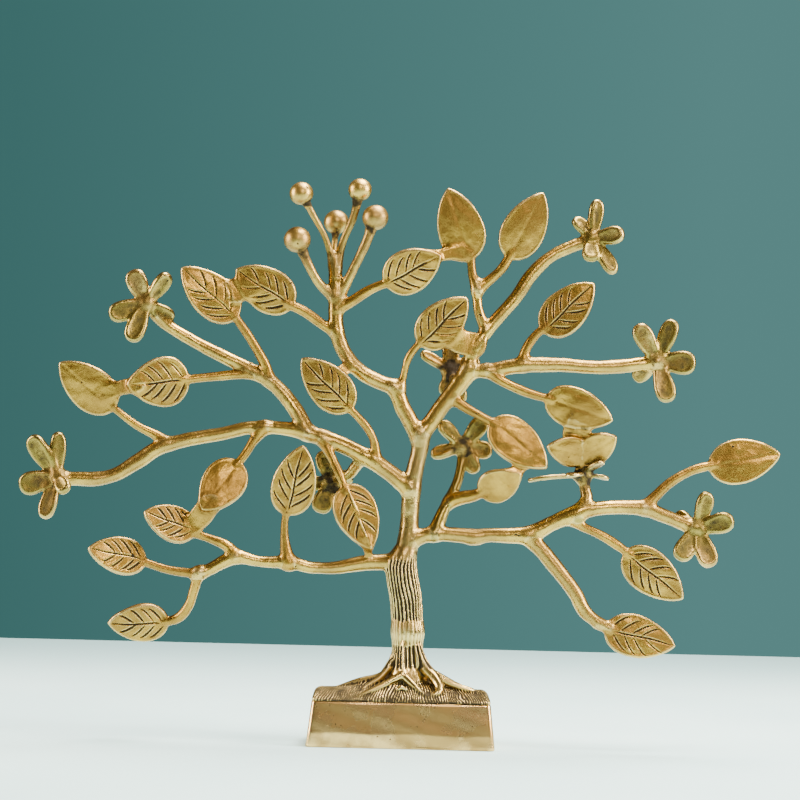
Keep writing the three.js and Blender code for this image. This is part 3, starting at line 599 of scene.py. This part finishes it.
def petal_outline(s):
    """Share of half a petal's width: a thick neck, then a blunt paddle."""
    neck, widest = 0.58, 0.66
    rise = neck + (1 - neck) * smooth_step(s, 0, widest)
    beyond = np.clip((s - widest) / (1 - widest), 0, 1)
    fall = (1 - beyond ** 2.5) ** 0.45
    return np.where(s < widest, rise, fall)


def cut(line, width, s, v):
    """
    A graver's cut along a line, as its share of the full depth: widest in its middle and tapering
    to both ends. Also how high the burr stands beside it.
    """
    nearest, chord = along_chords(line, s, v)
    place = chord / (len(line) - 1)
    half = width / 2 * (0.3 + 0.7 * np.clip(5 * place * (1 - place), 0, 1))
    groove = np.clip(1.3 * (1 - nearest / half), 0, 1)
    burr = np.exp(-((nearest - half * 1.35) / (half * 0.5)) ** 2)
    return groove, burr


def leaf_relief(length, half, style, rng):
    """Faces of a leaf: one is engraved with a midrib and side veins, the other one is plain."""
    middle = [[0.03 * length, 0], [0.3 * length, 0.03 * half], [0.62 * length, -0.03 * half],
              [0.93 * length, 0]]
    midrib_width, groove_depth, burr_height, blackest = 1.15, 0.6, 0.08, 0.66
    veins = [(middle, midrib_width)]
    for side, stagger in ((-1, 0), (1, 0.04)):
        for start in (0.08, 0.23, 0.38, 0.53):
            root = (start + rng.uniform(-0.02, 0.02) + stagger) * length
            end = min(root + rng.uniform(0.2, 0.26) * length, 0.9 * length)
            reach = side * half * float(leaf_outline(end / length)) * rng.uniform(0.72, 0.86)
            veins.append((
                [[root, 0.12 * reach], [root + 0.35 * (end - root), 0.52 * reach],
                 [root + 0.7 * (end - root), 0.84 * reach], [end, reach]],
                rng.uniform(0.95, 1.35),
            ))
    waves = rng.uniform(0, 6, 4)

    def relief(s, v, edge):
        rim = 0.25 * smooth_step(edge, -2.0, -0.7) * (edge < 0.5)
        ripples = 0.12 * np.sin(0.42 * s + 0.3 * v + waves[0]) * np.sin(0.55 * v - 0.2 * s + waves[1])
        engraved, stain = rim + ripples, np.zeros_like(s)
        for line, width in veins:
            groove, burr = cut(spline(line, 1.0), width, s, v)
            engraved += burr_height * burr - groove_depth * groove
            stain = np.maximum(stain, blackest * smooth_step(groove, 0.15, 0.6))
        if style == "ridged":
            ridge = np.exp(-((v / 0.6) ** 2)) * smooth_step(edge, 0, -2)
            engraved += 0.7 * ridge
            stain *= 1 - ridge
        crumple = np.sin(0.3 * s + waves[2]) * np.sin(0.75 * v + 0.2 * s + waves[3])
        plain = 0.8 * rim + 0.1 * crumple - 0.16 * np.exp(-((v / 0.9) ** 2)) * (s > 0.15 * length)
        clean = np.zeros_like(s)
        if style == "back":
            return plain, engraved, clean, stain
        return engraved, plain, stain, clean

    return relief


def petal_relief(s, v, edge):
    """A petal's front is dished inside a thick rim and sooty at its deepest. Its back is plain."""
    depth, blackest, clean_neck = 0.5, 0.29, 4
    dish = smooth_step(edge, -0.2, -4.6)
    soot = blackest * smooth_step(edge, -0.8, -3.4) * (s > clean_neck)
    flat = np.zeros_like(dish)
    return -depth * dish, flat, soot, flat


# -------------------- castings


# The slots of the castings whose joints with each other are filed clean, with no seam and no soot.
FRAMEWORK = ("root_brass", "trunk_brass", "limb_brass")

# A seam's groove, how far soot spreads from it, how far two neighbours run into each other, and
# how deep they must meet to be neighbours at all.
SEAM_DEPTH, SEAM_WIDTH = 0.15, 0.45
SOOT_SPREAD = 1.1
OVERLAP = 0.5
LEAST_CONTACT = 0.05

# Heights of the slow swell and of the hammered dents that every casting has.
SWELL_HEIGHT, HAMMER_HEIGHT = 0.2, 0.08


class Casting:
    """A named piece: its shapes joined in one field, before its neighbours are taken in."""

    def __init__(self, name, slot, shapes, carve=None):
        self.name, self.slot = name, slot
        low = np.min([shape.low for shape in shapes], 0)
        high = np.max([shape.high for shape in shapes], 0)
        self.block = Block(low, high)
        for shape in shapes:
            shape.add_to(self.block)
        if carve:
            carve(self.block)


def read_at(values, places):
    """Trilinear samples of an array at places given in its own index units."""
    places = np.clip(places, 0, np.array(values.shape) - 1.001)
    base = places.astype(int)
    share = (places - base).astype(np.float32)
    total = np.zeros(len(places), np.float32)
    for corner in np.ndindex(2, 2, 2):
        weight = np.prod(np.where(corner, share, 1 - share), axis=1)
        index = base + corner
        total += weight * values[index[:, 0], index[:, 1], index[:, 2]]
    return total


def curvature(field):
    """How convex the surface is at each sample, per millimetre; creases are negative."""
    bend = np.zeros_like(field)
    core = (slice(1, -1),) * 3
    for axis in range(3):
        before, after = list(core), list(core)
        before[axis], after[axis] = slice(0, -2), slice(2, None)
        bend[core] += field[tuple(before)] + field[tuple(after)] - 2 * field[core]
    bend /= VOXEL ** 2
    for axis in range(3):
        bend = (bend + 0.5 * (np.roll(bend, 1, axis) + np.roll(bend, -1, axis))) / 2
    return bend


def lean(points):
    """Points of the tree's own frame, in millimetres, turned to where the tree stands, in metres."""
    x, y, z = points[:, 0], points[:, 1], points[:, 2] - LEAN_CENTRE_HEIGHT
    turned = np.stack([
        x * math.cos(LEAN) - z * math.sin(LEAN),
        y,
        x * math.sin(LEAN) + z * math.cos(LEAN) + LEAN_CENTRE_HEIGHT,
    ], axis=1)
    return turned * MM


def make_mesh(name, points, quads, attributes):
    """An object of smooth quads, with a value for each vertex under the name of each attribute."""
    mesh = bpy.data.meshes.new(name)
    mesh.vertices.add(len(points))
    mesh.vertices.foreach_set("co", points.astype(np.float32).ravel())
    mesh.loops.add(4 * len(quads))
    mesh.loops.foreach_set("vertex_index", quads.astype(np.int32).ravel())
    mesh.polygons.add(len(quads))
    mesh.polygons.foreach_set("loop_start", np.arange(0, 4 * len(quads), 4, dtype=np.int32))
    mesh.polygons.foreach_set("use_smooth", np.ones(len(quads), bool))
    mesh.update(calc_edges=True)
    for key, values in attributes.items():
        mesh.attributes.new(key, "FLOAT", "POINT").data.foreach_set("value", values.astype(np.float32))
    mesh.validate()
    piece = bpy.data.objects.new(name, mesh)
    bpy.context.scene.collection.objects.link(piece)
    return piece


def relaxed(points, quads):
    """Points moved halfway to the mean of their neighbours along the quads' edges."""
    ends = np.concatenate([quads[:, [0, 1]], quads[:, [1, 2]], quads[:, [2, 3]], quads[:, [3, 0]]])
    ends = np.concatenate([ends, ends[:, ::-1]])
    counts = np.bincount(ends[:, 0], minlength=len(points))[:, None]
    sums = np.stack([
        np.bincount(ends[:, 0], weights=points[ends[:, 1], axis], minlength=len(points))
        for axis in range(3)
    ], axis=1)
    return 0.5 * points + 0.5 * sums / counts


def present(piece, node, slot):
    """Gives a piece its finish and puts it in the place of its CAD node."""
    piece.data.materials.append(MATERIALS[slot])
    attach(piece, "root")
    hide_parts(node)


def cast_piece(casting, castings):
    """The mesh of one casting, filleted into its neighbours and ending where theirs begins."""
    block = casting.block
    field = block.field.copy()
    joint, brazed = np.full((2, *block.shape), 2 * BAND, np.float32)
    for other in castings:
        windows = None if other is casting else block.shared(other.block)
        if windows is None:
            continue
        mine, theirs = windows
        own, near = block.field[mine], other.block.field[theirs]
        if np.maximum(own, near).min() > -LEAST_CONTACT:
            continue
        field[mine] = smooth_min(field[mine], near, FILLET)
        joint[mine] = np.minimum(joint[mine], near - own)
        if not (casting.slot in FRAMEWORK and other.slot in FRAMEWORK):
            brazed[mine] = np.minimum(brazed[mine], near - own)
    grids = block.grids()
    patches = smooth_step(PATCHES.over(grids), 0.1, 0.45)
    seam = np.exp(-((brazed / SEAM_WIDTH) ** 2)) * patches
    field += SWELL_HEIGHT * SWELL.over(grids) + HAMMER_HEIGHT * HAMMER.over(grids) + SEAM_DEPTH * seam
    field = np.maximum(field, -joint / 2 - OVERLAP / 2)
    grid = openvdb.FloatGrid(BAND)
    grid.copyFromArray(np.clip(field, -BAND, BAND))
    places, quads = grid.convertToQuads()
    quads = quads[:, ::-1]
    places = relaxed(places, quads)
    attributes = {
        "bend": read_at(curvature(field), places),
        "joint": read_at(patches, places) * np.exp(-np.abs(read_at(brazed, places)) / SOOT_SPREAD),
        "stain": read_at(block.stain, places),
    }
    points = lean((places + block.first) * VOXEL)
    present(make_mesh("cast_" + casting.name, points, quads, attributes), casting.name, casting.slot)


# -------------------- materials


class Nodes:
    """A short way to write the nodes of a material or a world."""

    def __init__(self, owner):
        owner.use_nodes = True
        self.owner = owner
        self.tree = owner.node_tree

    def add(self, kind, **settings):
        node = self.tree.nodes.new(kind)
        for key, value in settings.items():
            if key in node.inputs:
                node.inputs[key].default_value = value
            else:
                setattr(node, key, value)
        return node

    def link(self, source, target):
        self.tree.links.new(source, target)

    def noise(self, scale, detail=4.0, roughness=0.55):
        place = self.add("ShaderNodeTexCoord")
        noise = self.add("ShaderNodeTexNoise", Scale=scale, Detail=detail, Roughness=roughness)
        self.link(place.outputs["Object"], noise.inputs["Vector"])
        return noise.outputs["Fac"]

    def span(self, source, low, high, to_low=0.0, to_high=1.0):
        node = self.add("ShaderNodeMapRange", clamp=True, interpolation_type="SMOOTHSTEP")
        for key, value in (("From Min", low), ("From Max", high), ("To Min", to_low), ("To Max", to_high)):
            node.inputs[key].default_value = value
        self.link(source, node.inputs["Value"])
        return node.outputs["Result"]

    def maths(self, operation, a, b):
        node = self.add("ShaderNodeMath", operation=operation, use_clamp=False)
        for socket, value in zip(node.inputs, (a, b)):
            if isinstance(value, (int, float)):
                socket.default_value = value
            else:
                self.link(value, socket)
        return node.outputs["Value"]

    def mix(self, factor, a, b):
        node = self.add("ShaderNodeMix", data_type="RGBA")
        for socket, value in ((node.inputs["Factor"], factor), (node.inputs[6], a), (node.inputs[7], b)):
            if isinstance(value, tuple):
                socket.default_value = (*value, 1)
            else:
                self.link(value, socket)
        return node.outputs[2]

    def attribute(self, name):
        return self.add("ShaderNodeAttribute", attribute_name=name).outputs["Fac"]

    def axis(self, coordinates, name):
        place, axes = self.add("ShaderNodeTexCoord"), self.add("ShaderNodeSeparateXYZ")
        self.link(place.outputs[coordinates], axes.inputs["Vector"])
        return axes.outputs[name]


# A near black for oxide, also used as painted shade in creases.
OXIDE_AND_SHADE = (0.012, 0.008, 0.005)
# A pale brass for rubbed edges, also used as a painted highlight on convex edges.
WORN_EDGE_AND_HIGHLIGHT = (0.88, 0.66, 0.27)

# How much of each of these shows: rubbed edges, which also carry a painted highlight, tarnish, and oxide,
# which in creases is also painted shade.
RUBBED_AND_HIGHLIT, TARNISHED, BLACKENED = 0.45, 0.85, 0.96


def brass(name, pale, deep, roughness, unevenness, tarnish=None):
    """
    Cast brass: two tones of metal in soft clouds, black oxide in cuts and joints, black oxide and
    painted shade in creases, rubbed bright edges that also carry a painted highlight, and a surface
    of hammered hollows, fine scratches and casting pits.
    """
    n = Nodes(bpy.data.materials.new(name))
    shader = n.tree.nodes["Principled BSDF"]
    bend, joint, stain = (n.attribute(key) for key in ("bend", "joint", "stain"))
    clouds = n.noise(60, 5)
    dents = n.noise(420, 3)
    grain = n.noise(1500, 3, 0.6)

    tone = n.mix(n.span(clouds, 0.34, 0.6), pale, deep)
    if tarnish:
        film = n.span(n.noise(50, 4), 0.38, 0.55)
        tone = n.mix(n.maths("MULTIPLY", film, TARNISHED), tone, tarnish)
    # Convex edges are painted paler: partly rubbed wear, partly a painted highlight.
    edges = n.span(bend, 0.5, 1.5)
    tone = n.mix(n.maths("MULTIPLY", edges, RUBBED_AND_HIGHLIT), tone, WORN_EDGE_AND_HIGHLIGHT)

    ragged = n.maths("MULTIPLY", n.maths("MAXIMUM", dents, n.noise(170, 3)), 0.8)
    # Creases, found from the curvature, are painted dark: partly black oxide, partly painted shade.
    crease_oxide_and_shade = n.span(n.maths("ADD", bend, ragged), 0.3, -0.7)
    filled = n.span(n.maths("ADD", stain, ragged), 0.5, 0.95)
    soot = n.maths("MULTIPLY", joint, n.span(dents, 0.45, 0.65))
    pits = n.span(n.noise(300, 2), 0.71, 0.75)
    # All that is painted dark: oxide in cuts, soot at joints, pits, and painted shade in creases.
    dirt_and_shade = n.maths("MAXIMUM", n.maths("MAXIMUM", crease_oxide_and_shade, filled), n.maths("MAXIMUM", soot, pits))
    colour = n.mix(n.maths("MULTIPLY", dirt_and_shade, BLACKENED), tone, OXIDE_AND_SHADE)
    n.link(colour, shader.inputs["Base Color"])

    n.link(n.span(dirt_and_shade, 0.2, 1, 1, 0.3), shader.inputs["Metallic"])
    worn = n.span(clouds, 0.3, 0.7, roughness, roughness + 0.1)
    n.link(n.maths("ADD", worn, n.maths("MULTIPLY", dirt_and_shade, 0.35)), shader.inputs["Roughness"])

    height = n.maths("ADD", n.maths("MULTIPLY", dents, 1.5), n.maths("MULTIPLY", grain, 0.18))
    shader.inputs["Specular IOR Level"].default_value = 0.12
    bump = n.add("ShaderNodeBump", Strength=unevenness, Distance=0.0003)
    n.link(n.maths("SUBTRACT", height, pits), bump.inputs["Height"])
    n.link(bump.outputs["Normal"], shader.inputs["Normal"])
    return n.owner


# The pale and deep tones of each slot, how rough it is, how uneven, and its tarnish.
FINISHES = {
    "plinth_brass": ((0.85, 0.54, 0.21), (0.47, 0.275, 0.09), 0.21, 0.06),
    "root_brass": ((0.68, 0.48, 0.15), (0.46, 0.30, 0.09), 0.22, 0.4),
    "trunk_brass": ((0.56, 0.37, 0.11), (0.33, 0.21, 0.065), 0.26, 0.45),
    "limb_brass": ((0.54, 0.335, 0.065), (0.34, 0.205, 0.05), 0.27, 0.45),
    "leaf_brass": ((0.44, 0.25, 0.04), (0.27, 0.145, 0.028), 0.31, 0.45),
    "flower_brass": ((0.54, 0.35, 0.10), (0.27, 0.16, 0.04), 0.27, 0.45, (0.23, 0.165, 0.035)),
    "berry_brass": ((0.54, 0.35, 0.08), (0.30, 0.18, 0.05), 0.34, 0.3),
}
MATERIALS = {slot: brass(slot, *finish) for slot, finish in FINISHES.items()}

# -------------------- trunk and root casting


def level(x, z):
    """Where a point of the leaning tree stands: along the plinth from its middle, and its height."""
    up = z - LEAN_CENTRE_HEIGHT
    along = x * math.cos(LEAN) - up * math.sin(LEAN) - PLINTH_MIDDLE
    return along, x * math.sin(LEAN) + up * math.cos(LEAN) + LEAN_CENTRE_HEIGHT


BARK = Unevenness(5, 4, 4, 16)
BARK_BREAKS = Unevenness(6, 1.8, 1.8, 7)
EARTH = Unevenness(8, 6, 6, 6)
EARTH_BREAKS = Unevenness(9, 2.5, 4.5, 3)

# The bark's grooves: how many run round the trunk, how far they wander and break up, their depth,
# and what is left of that depth where the joint was filed.
BARK_GROOVES = 26
BARK_WANDER = 2.4
BARK_BREAK_UP = 0.6
BARK_DEPTH = 0.75
FILED = 0.35

# Heights on the trunk, and the x of its middle at each. The stub's middle has one x.
TRUNK_MIDDLE = ([56, 72, 82, 88, 93], [3.8, 3, 1.3, 0.6, 1.6])
STUB_MIDDLE = 3.7


def groove_bark(block, centre, strength):
    """Long wavy grooves that run down a trunk, whose middle is at x = centre."""
    grids = block.grids()
    x, y = grids[:2]
    around = np.arctan2(y, x - centre) * BARK_GROOVES + BARK_WANDER * BARK.over(grids)
    waves = 1.3 * np.sin(around) + BARK_BREAK_UP * BARK_BREAKS.over(grids) + 0.5
    depth = np.clip(waves, 0, 1) * strength
    near = np.clip(1.5 - np.abs(block.field), 0, 1)
    block.stain = np.maximum(block.stain, np.float32(smooth_step(depth, 0.25, 0.6) * near))
    block.field = block.field + np.float32(BARK_DEPTH * depth)


def finish_trunk(block):
    """Grooves from the fork down, which the filed band at the joint makes shallow."""
    grids = block.grids()
    z = grids[2]
    ragged_z = z + 1.2 * HAMMER.over(grids)
    filed = FILED + (1 - FILED) * smooth_step(ragged_z, 61.6, 62.6)
    fork = smooth_step(ragged_z, 95, 88)
    groove_bark(block, np.interp(z, *TRUNK_MIDDLE), filed * fork)


def mound_sides(along, y):
    """Distance past the upright sides of the mound."""
    return np.maximum(np.abs(along) - MOUND_HALF[0], np.abs(y) - MOUND_HALF[1])


class Mound:
    """The hatched mound of earth on the plinth. Its underside lies level on the plinth's top."""

    low = np.array([-50.0, -24.0, 18.0])
    high = np.array([52.0, 24.0, 42.0])

    # A lip, a round shoulder and a crown over it, then the depth of the hatching. On the slopes the
    # surface is nearer than the height over it, by STEEPNESS on average.
    LIP, SHOULDER, CROWN, CROWN_SPREAD = 1.1, 4, 7, 22
    HATCH_DEPTH = 0.75
    STEEPNESS = 0.85
    BLEND = 0.8

    def add_to(self, block):
        window = block.window(self.low, self.high)
        x, y, z = grids = block.grids(window)
        along, up = level(x, z)
        end = np.clip(MOUND_HALF[0] - np.abs(along), 0, self.SHOULDER) / self.SHOULDER
        slope = np.clip(1 - (y / MOUND_HALF[1]) ** 2, 0, 1) ** 0.8
        rise = self.SHOULDER + self.CROWN * np.exp(-((along / self.CROWN_SPREAD) ** 2))
        top = PLINTH["height"] + self.LIP + rise * np.sqrt(1 - (1 - end) ** 2) * slope
        strokes = 5 * along + 1.5 * y * np.sign(along) + 7 * EARTH.over(grids)
        hatch = np.clip(1.4 * np.sin(strokes) + 0.8 * EARTH_BREAKS.over(grids) + 0.9, 0, 1)
        inland = smooth_step(MOUND_HALF[0] - np.abs(along), 0.3, 2.5)
        over = (up - top + self.HATCH_DEPTH * hatch * inland) * self.STEEPNESS
        gap = np.minimum(np.maximum(over, mound_sides(along, y)), BAND).astype(np.float32)
        stain = smooth_step(hatch, 0.1, 0.6) * inland * np.clip(1.8 - np.abs(gap), 0, 1)
        block.merge(window, gap, self.BLEND, stain)


def finish_roots(block):
    """Bark grooves below the filed band, and a flat underside on the plinth."""
    x, y, z = grids = block.grids()
    ragged_z = z + 0.8 * HAMMER.over(grids)
    deep = smooth_step(ragged_z, 50, 49) * smooth_step(z, 36, 41)
    groove_bark(block, STUB_MIDDLE, np.maximum(deep, FILED * smooth_step(z, 48, 50)))
    along, up = level(x, z)
    limits = np.maximum(mound_sides(along, y), PLINTH["height"] + 0.1 - up)
    block.field = np.maximum(block.field, np.float32(limits))


# -------------------- plinth


def round_rectangle(half_width, half_depth, corner):
    """Points x, y round a rectangle with round corners: as many for every size."""
    steps_across, steps_deep = 52, 26
    centre_x, centre_y = half_width - corner, half_depth - corner
    ring = []
    for turn, (sx, sy) in enumerate(((1, 1), (-1, 1), (-1, -1), (1, -1))):
        for a in np.linspace(turn, turn + 1, 7) * math.pi / 2:
            ring.append((sx * centre_x + corner * math.cos(a), sy * centre_y + corner * math.sin(a)))
        x, y = ring[-1]
        if turn % 2 == 0:
            next_x, next_y, steps = -x, y, steps_across
        else:
            next_x, next_y, steps = x, -y, steps_deep
        for t in np.linspace(0, 1, steps + 1)[1:-1]:
            ring.append((x + (next_x - x) * t, y + (next_y - y) * t))
    return ring


def make_plinth():
    """A hollow cast block: an upright foot, walls that taper above it, and soft edges."""
    width, depth = PLINTH["width"] / 2, PLINTH["depth"] / 2
    narrow, shallow = PLINTH["topWidth"] / 2, PLINTH["topDepth"] / 2
    top, wall, corner = PLINTH["height"], PLINTH["wall"], PLINTH["corner"]
    softness, hole, wear = 0.8, 0.1, 0.16
    rings = []
    for inset, z in ((wall + 2, top - wall), (wall + 1, 9), (wall, 0.1)):
        rings.append([(x, y, z) for x, y in round_rectangle(width - inset, depth - inset, corner)])
    rings.insert(0, [(hole * x, hole * y, z) for x, y, z in rings[0]])
    edge = np.array([0, 0.1, 0.3, softness])
    between = np.arange(2 * softness, top - 1, softness)
    for z in np.concatenate([edge, between, top - edge[::-1]]):
        taper = smooth_step(z, PLINTH_FOOT - 1, PLINTH_FOOT + 1) * (z - PLINTH_FOOT) / (top - PLINTH_FOOT)
        near_edge = max(0, softness - min(z, top - z))
        tuck = softness - math.sqrt(softness ** 2 - near_edge ** 2)
        half_width = width + (narrow - width) * z / top - tuck
        half_depth = depth + (shallow - depth) * taper - tuck
        rings.append([(x, y, z) for x, y in round_rectangle(half_width, half_depth, corner)])
    rings.append([(hole * x, hole * y, z) for x, y, z in rings[-1]])

    count = len(rings[0])
    points = np.array([point for ring in rings for point in ring])
    x, y, z = points.T
    worn = wear * (1 + np.sin(0.11 * x + 0.2 * z) * np.sin(0.3 * z + 0.05 * x)) * (z > 0.5)
    points[:, 1] -= np.sign(y) * worn * (np.abs(y) > depth - wall)
    points[:, 0] += PLINTH_MIDDLE
    start = np.arange(count)
    beside = (start + 1) % count
    quads = np.concatenate([
        np.stack([row + start, row + beside, row + count + beside, row + count + start], 1)
        for row in range(0, (len(rings) - 1) * count, count)
    ])
    present(make_mesh("cast_plinth", points * MM, quads, {}), "plinth", "plinth_brass")


# -------------------- the pieces


def leaf_shapes(leaf, rng):
    """A blade on its stalk, with the bridge to its neighbour where it has one."""
    length = float(np.linalg.norm(np.subtract(leaf.tip, leaf.base)))
    relief = leaf_relief(length, leaf.width / 2, leaf.style, rng)
    blade = Blade(leaf.base, leaf.tip, leaf.width, leaf_outline, relief,
                  turn=leaf.turn, bow=1.2, cup=-0.8)
    bridge = [Web(leaf.bridge)] if leaf.bridge else []
    return [Rod(leaf.stalk), blade, *bridge]


def flower_shapes(flower):
    """A hub with its petals, on a stalk where it has one."""
    facing, thickness = (UP, 2.2) if flower.flat else (FRONT, 3.8)
    hub, hub_radius = np.array(flower.hub, float), 4.6
    shapes = [Ball(hub, hub_radius, soot=flower.soot)]
    if flower.stalk:
        shapes.append(Rod(flower.stalk))
    for x, y, z, width, *turn in flower.petals:
        shapes.append(Blade(hub, [x, y, z], width, petal_outline, petal_relief, thickness=thickness,
                            rim=thickness * 0.45, turn=sum(turn), bow=0.8, facing=facing, blend=1.8))
    return shapes


def berry_shapes(radius, stalk):
    """A ball on its stalk, with a sooty collar where the two are brazed together."""
    before, end = np.array(stalk[-2:], float)
    back = before[:3] - end[:3]
    collar = end[:3] + back / np.linalg.norm(back) * (radius + 0.2)
    return [Rod(stalk), Ball(end[:3], radius, (1, 1.02, 1.04), blend=0.5),
            Ball(collar, before[3] / 2 + 0.3, soot=0.8)]


def all_castings():
    """Every casting of the tree, named as its CAD node. The leaves draw their veins in this order."""
    rng = np.random.default_rng(7)
    roots = [Rod(TRUNK_STUB), *(Rod(route, blend=1.0) for route in ROOTS), Mound()]
    castings = [
        Casting("root_casting", "root_brass", roots, carve=finish_roots),
        Casting("trunk", "trunk_brass", [Rod(TRUNK)], carve=finish_trunk),
    ]
    for name, route in LIMBS.items():
        castings.append(Casting("limb_" + name, "limb_brass", [Rod(route)]))
    for name, flower in FLOWERS.items():
        castings.append(Casting("flower_" + name, "flower_brass", flower_shapes(flower)))
    for name, leaf in LEAVES.items():
        castings.append(Casting("leaf_" + name, "leaf_brass", leaf_shapes(leaf, rng)))
    for i, (radius, stalk) in enumerate(BERRIES):
        castings.append(Casting(f"berry_{i + 1}", "berry_brass", berry_shapes(radius, stalk)))
    return castings


# -------------------- floor, light and camera


def table_top(fade_start, back):
    """A pale cloudy paint, with painted shade that grows darker towards the back of the table."""
    n = Nodes(bpy.data.materials.new("floor"))
    shader = n.tree.nodes["Principled BSDF"]
    shader.inputs["Roughness"].default_value = 0.55
    pale, shade, far = (0.7, 0.97, 1.0), (0.63, 0.9, 0.94), (0.4, 0.64, 0.68)
    clouds = n.mix(n.span(n.noise(4, 2), 0.35, 0.65), pale, shade)
    # Painted shade: the top grows darker towards its back edge.
    y = n.axis("Object", "Y")
    n.link(n.mix(n.span(y, fade_start, back), clouds, far), shader.inputs["Base Color"])
    return n.owner


def make_table():
    """A pale table top, whose far edge, darkened by painted shade, shows behind the plinth."""
    side, front, back, fade_start = 2.4, -1.1, 0.67, 0.2
    corners = [(-side, front, 0), (side, front, 0), (side, back, 0), (-side, back, 0)]
    mesh = bpy.data.meshes.new("floor")
    mesh.from_pydata(corners, [], [(0, 1, 2, 3)])
    floor = bpy.data.objects.new("floor", mesh)
    floor.data.materials.append(table_top(fade_start, back))
    bpy.context.scene.collection.objects.link(floor)


def area_light(name, place, aim, size, power, colour):
    """A soft box of the given width and height in metres, turned to face aim."""
    light = bpy.data.lights.new(name, "AREA")
    light.shape, light.size, light.size_y = "RECTANGLE", size[0], size[1]
    light.energy, light.color = power, colour
    lamp = bpy.data.objects.new(name, light)
    lamp.location = place
    lamp.rotation_mode = "QUATERNION"
    lamp.rotation_quaternion = (Vector(aim) - Vector(place)).to_track_quat("-Z", "Y")
    bpy.context.scene.collection.objects.link(lamp)


def make_lights():
    """Soft boxes above and at both sides, and a weak one in front."""
    middle = (0, 0, 0.15)
    area_light("top", (0.2, 0.1, 1.0), middle, (0.7, 0.4), 40, (1.0, 0.95, 0.85))
    area_light("right", (0.95, -0.25, 0.5), middle, (0.3, 0.7), 28, (1.0, 0.93, 0.8))
    area_light("left", (-0.95, -0.1, 0.4), middle, (0.25, 0.6), 16, (1.0, 0.93, 0.8))
    area_light("front", (0.3, -1.5, 0.9), middle, (0.35, 0.25), 11, (1.0, 0.92, 0.78))


def make_world():
    """A muted teal backdrop, paler to the right. The brass sees a dim warm room in its place."""
    n = Nodes(bpy.data.worlds.new("studio"))
    n.tree.nodes.clear()
    x = n.axis("Generated", "X")
    fade = n.add("ShaderNodeMapRange", **{"From Min": -0.16, "From Max": 0.13})
    n.link(x, fade.inputs["Value"])
    teal = n.mix(fade.outputs["Result"], (0.052, 0.155, 0.148), (0.098, 0.245, 0.238))
    backdrop = n.add("ShaderNodeBackground")
    n.link(teal, backdrop.inputs["Color"])
    room = n.add("ShaderNodeBackground", Color=(0.095, 0.086, 0.07, 1))
    seen = n.add("ShaderNodeLightPath").outputs["Is Camera Ray"]
    choice = n.add("ShaderNodeMixShader")
    output = n.add("ShaderNodeOutputWorld")
    for source, target in zip((seen, room.outputs[0], backdrop.outputs[0]), choice.inputs):
        n.link(source, target)
    n.link(choice.outputs[0], output.inputs["Surface"])
    bpy.context.scene.world = n.owner


def make_camera():
    """A long lens low in front, rolled so that the leaning tree stands upright in the picture."""
    data = bpy.data.cameras.new("camera")
    data.sensor_width, data.lens = 36, 108
    camera = bpy.data.objects.new("camera", data)
    place, aim = Vector((0, -1.2, 0.134)), Vector((0, 0, LEAN_CENTRE_HEIGHT * MM))
    forward = (aim - place).normalized()
    upright = forward.to_track_quat("-Z", "Y").to_matrix()
    roll = Matrix.Rotation(-LEAN, 3, forward)
    camera.matrix_world = Matrix.Translation(place) @ (roll @ upright).to_4x4()
    bpy.context.scene.collection.objects.link(camera)
    bpy.context.scene.camera = camera


make_plinth()
castings = all_castings()
for casting in castings:
    cast_piece(casting, castings)
make_table()
make_lights()
make_world()
make_camera()
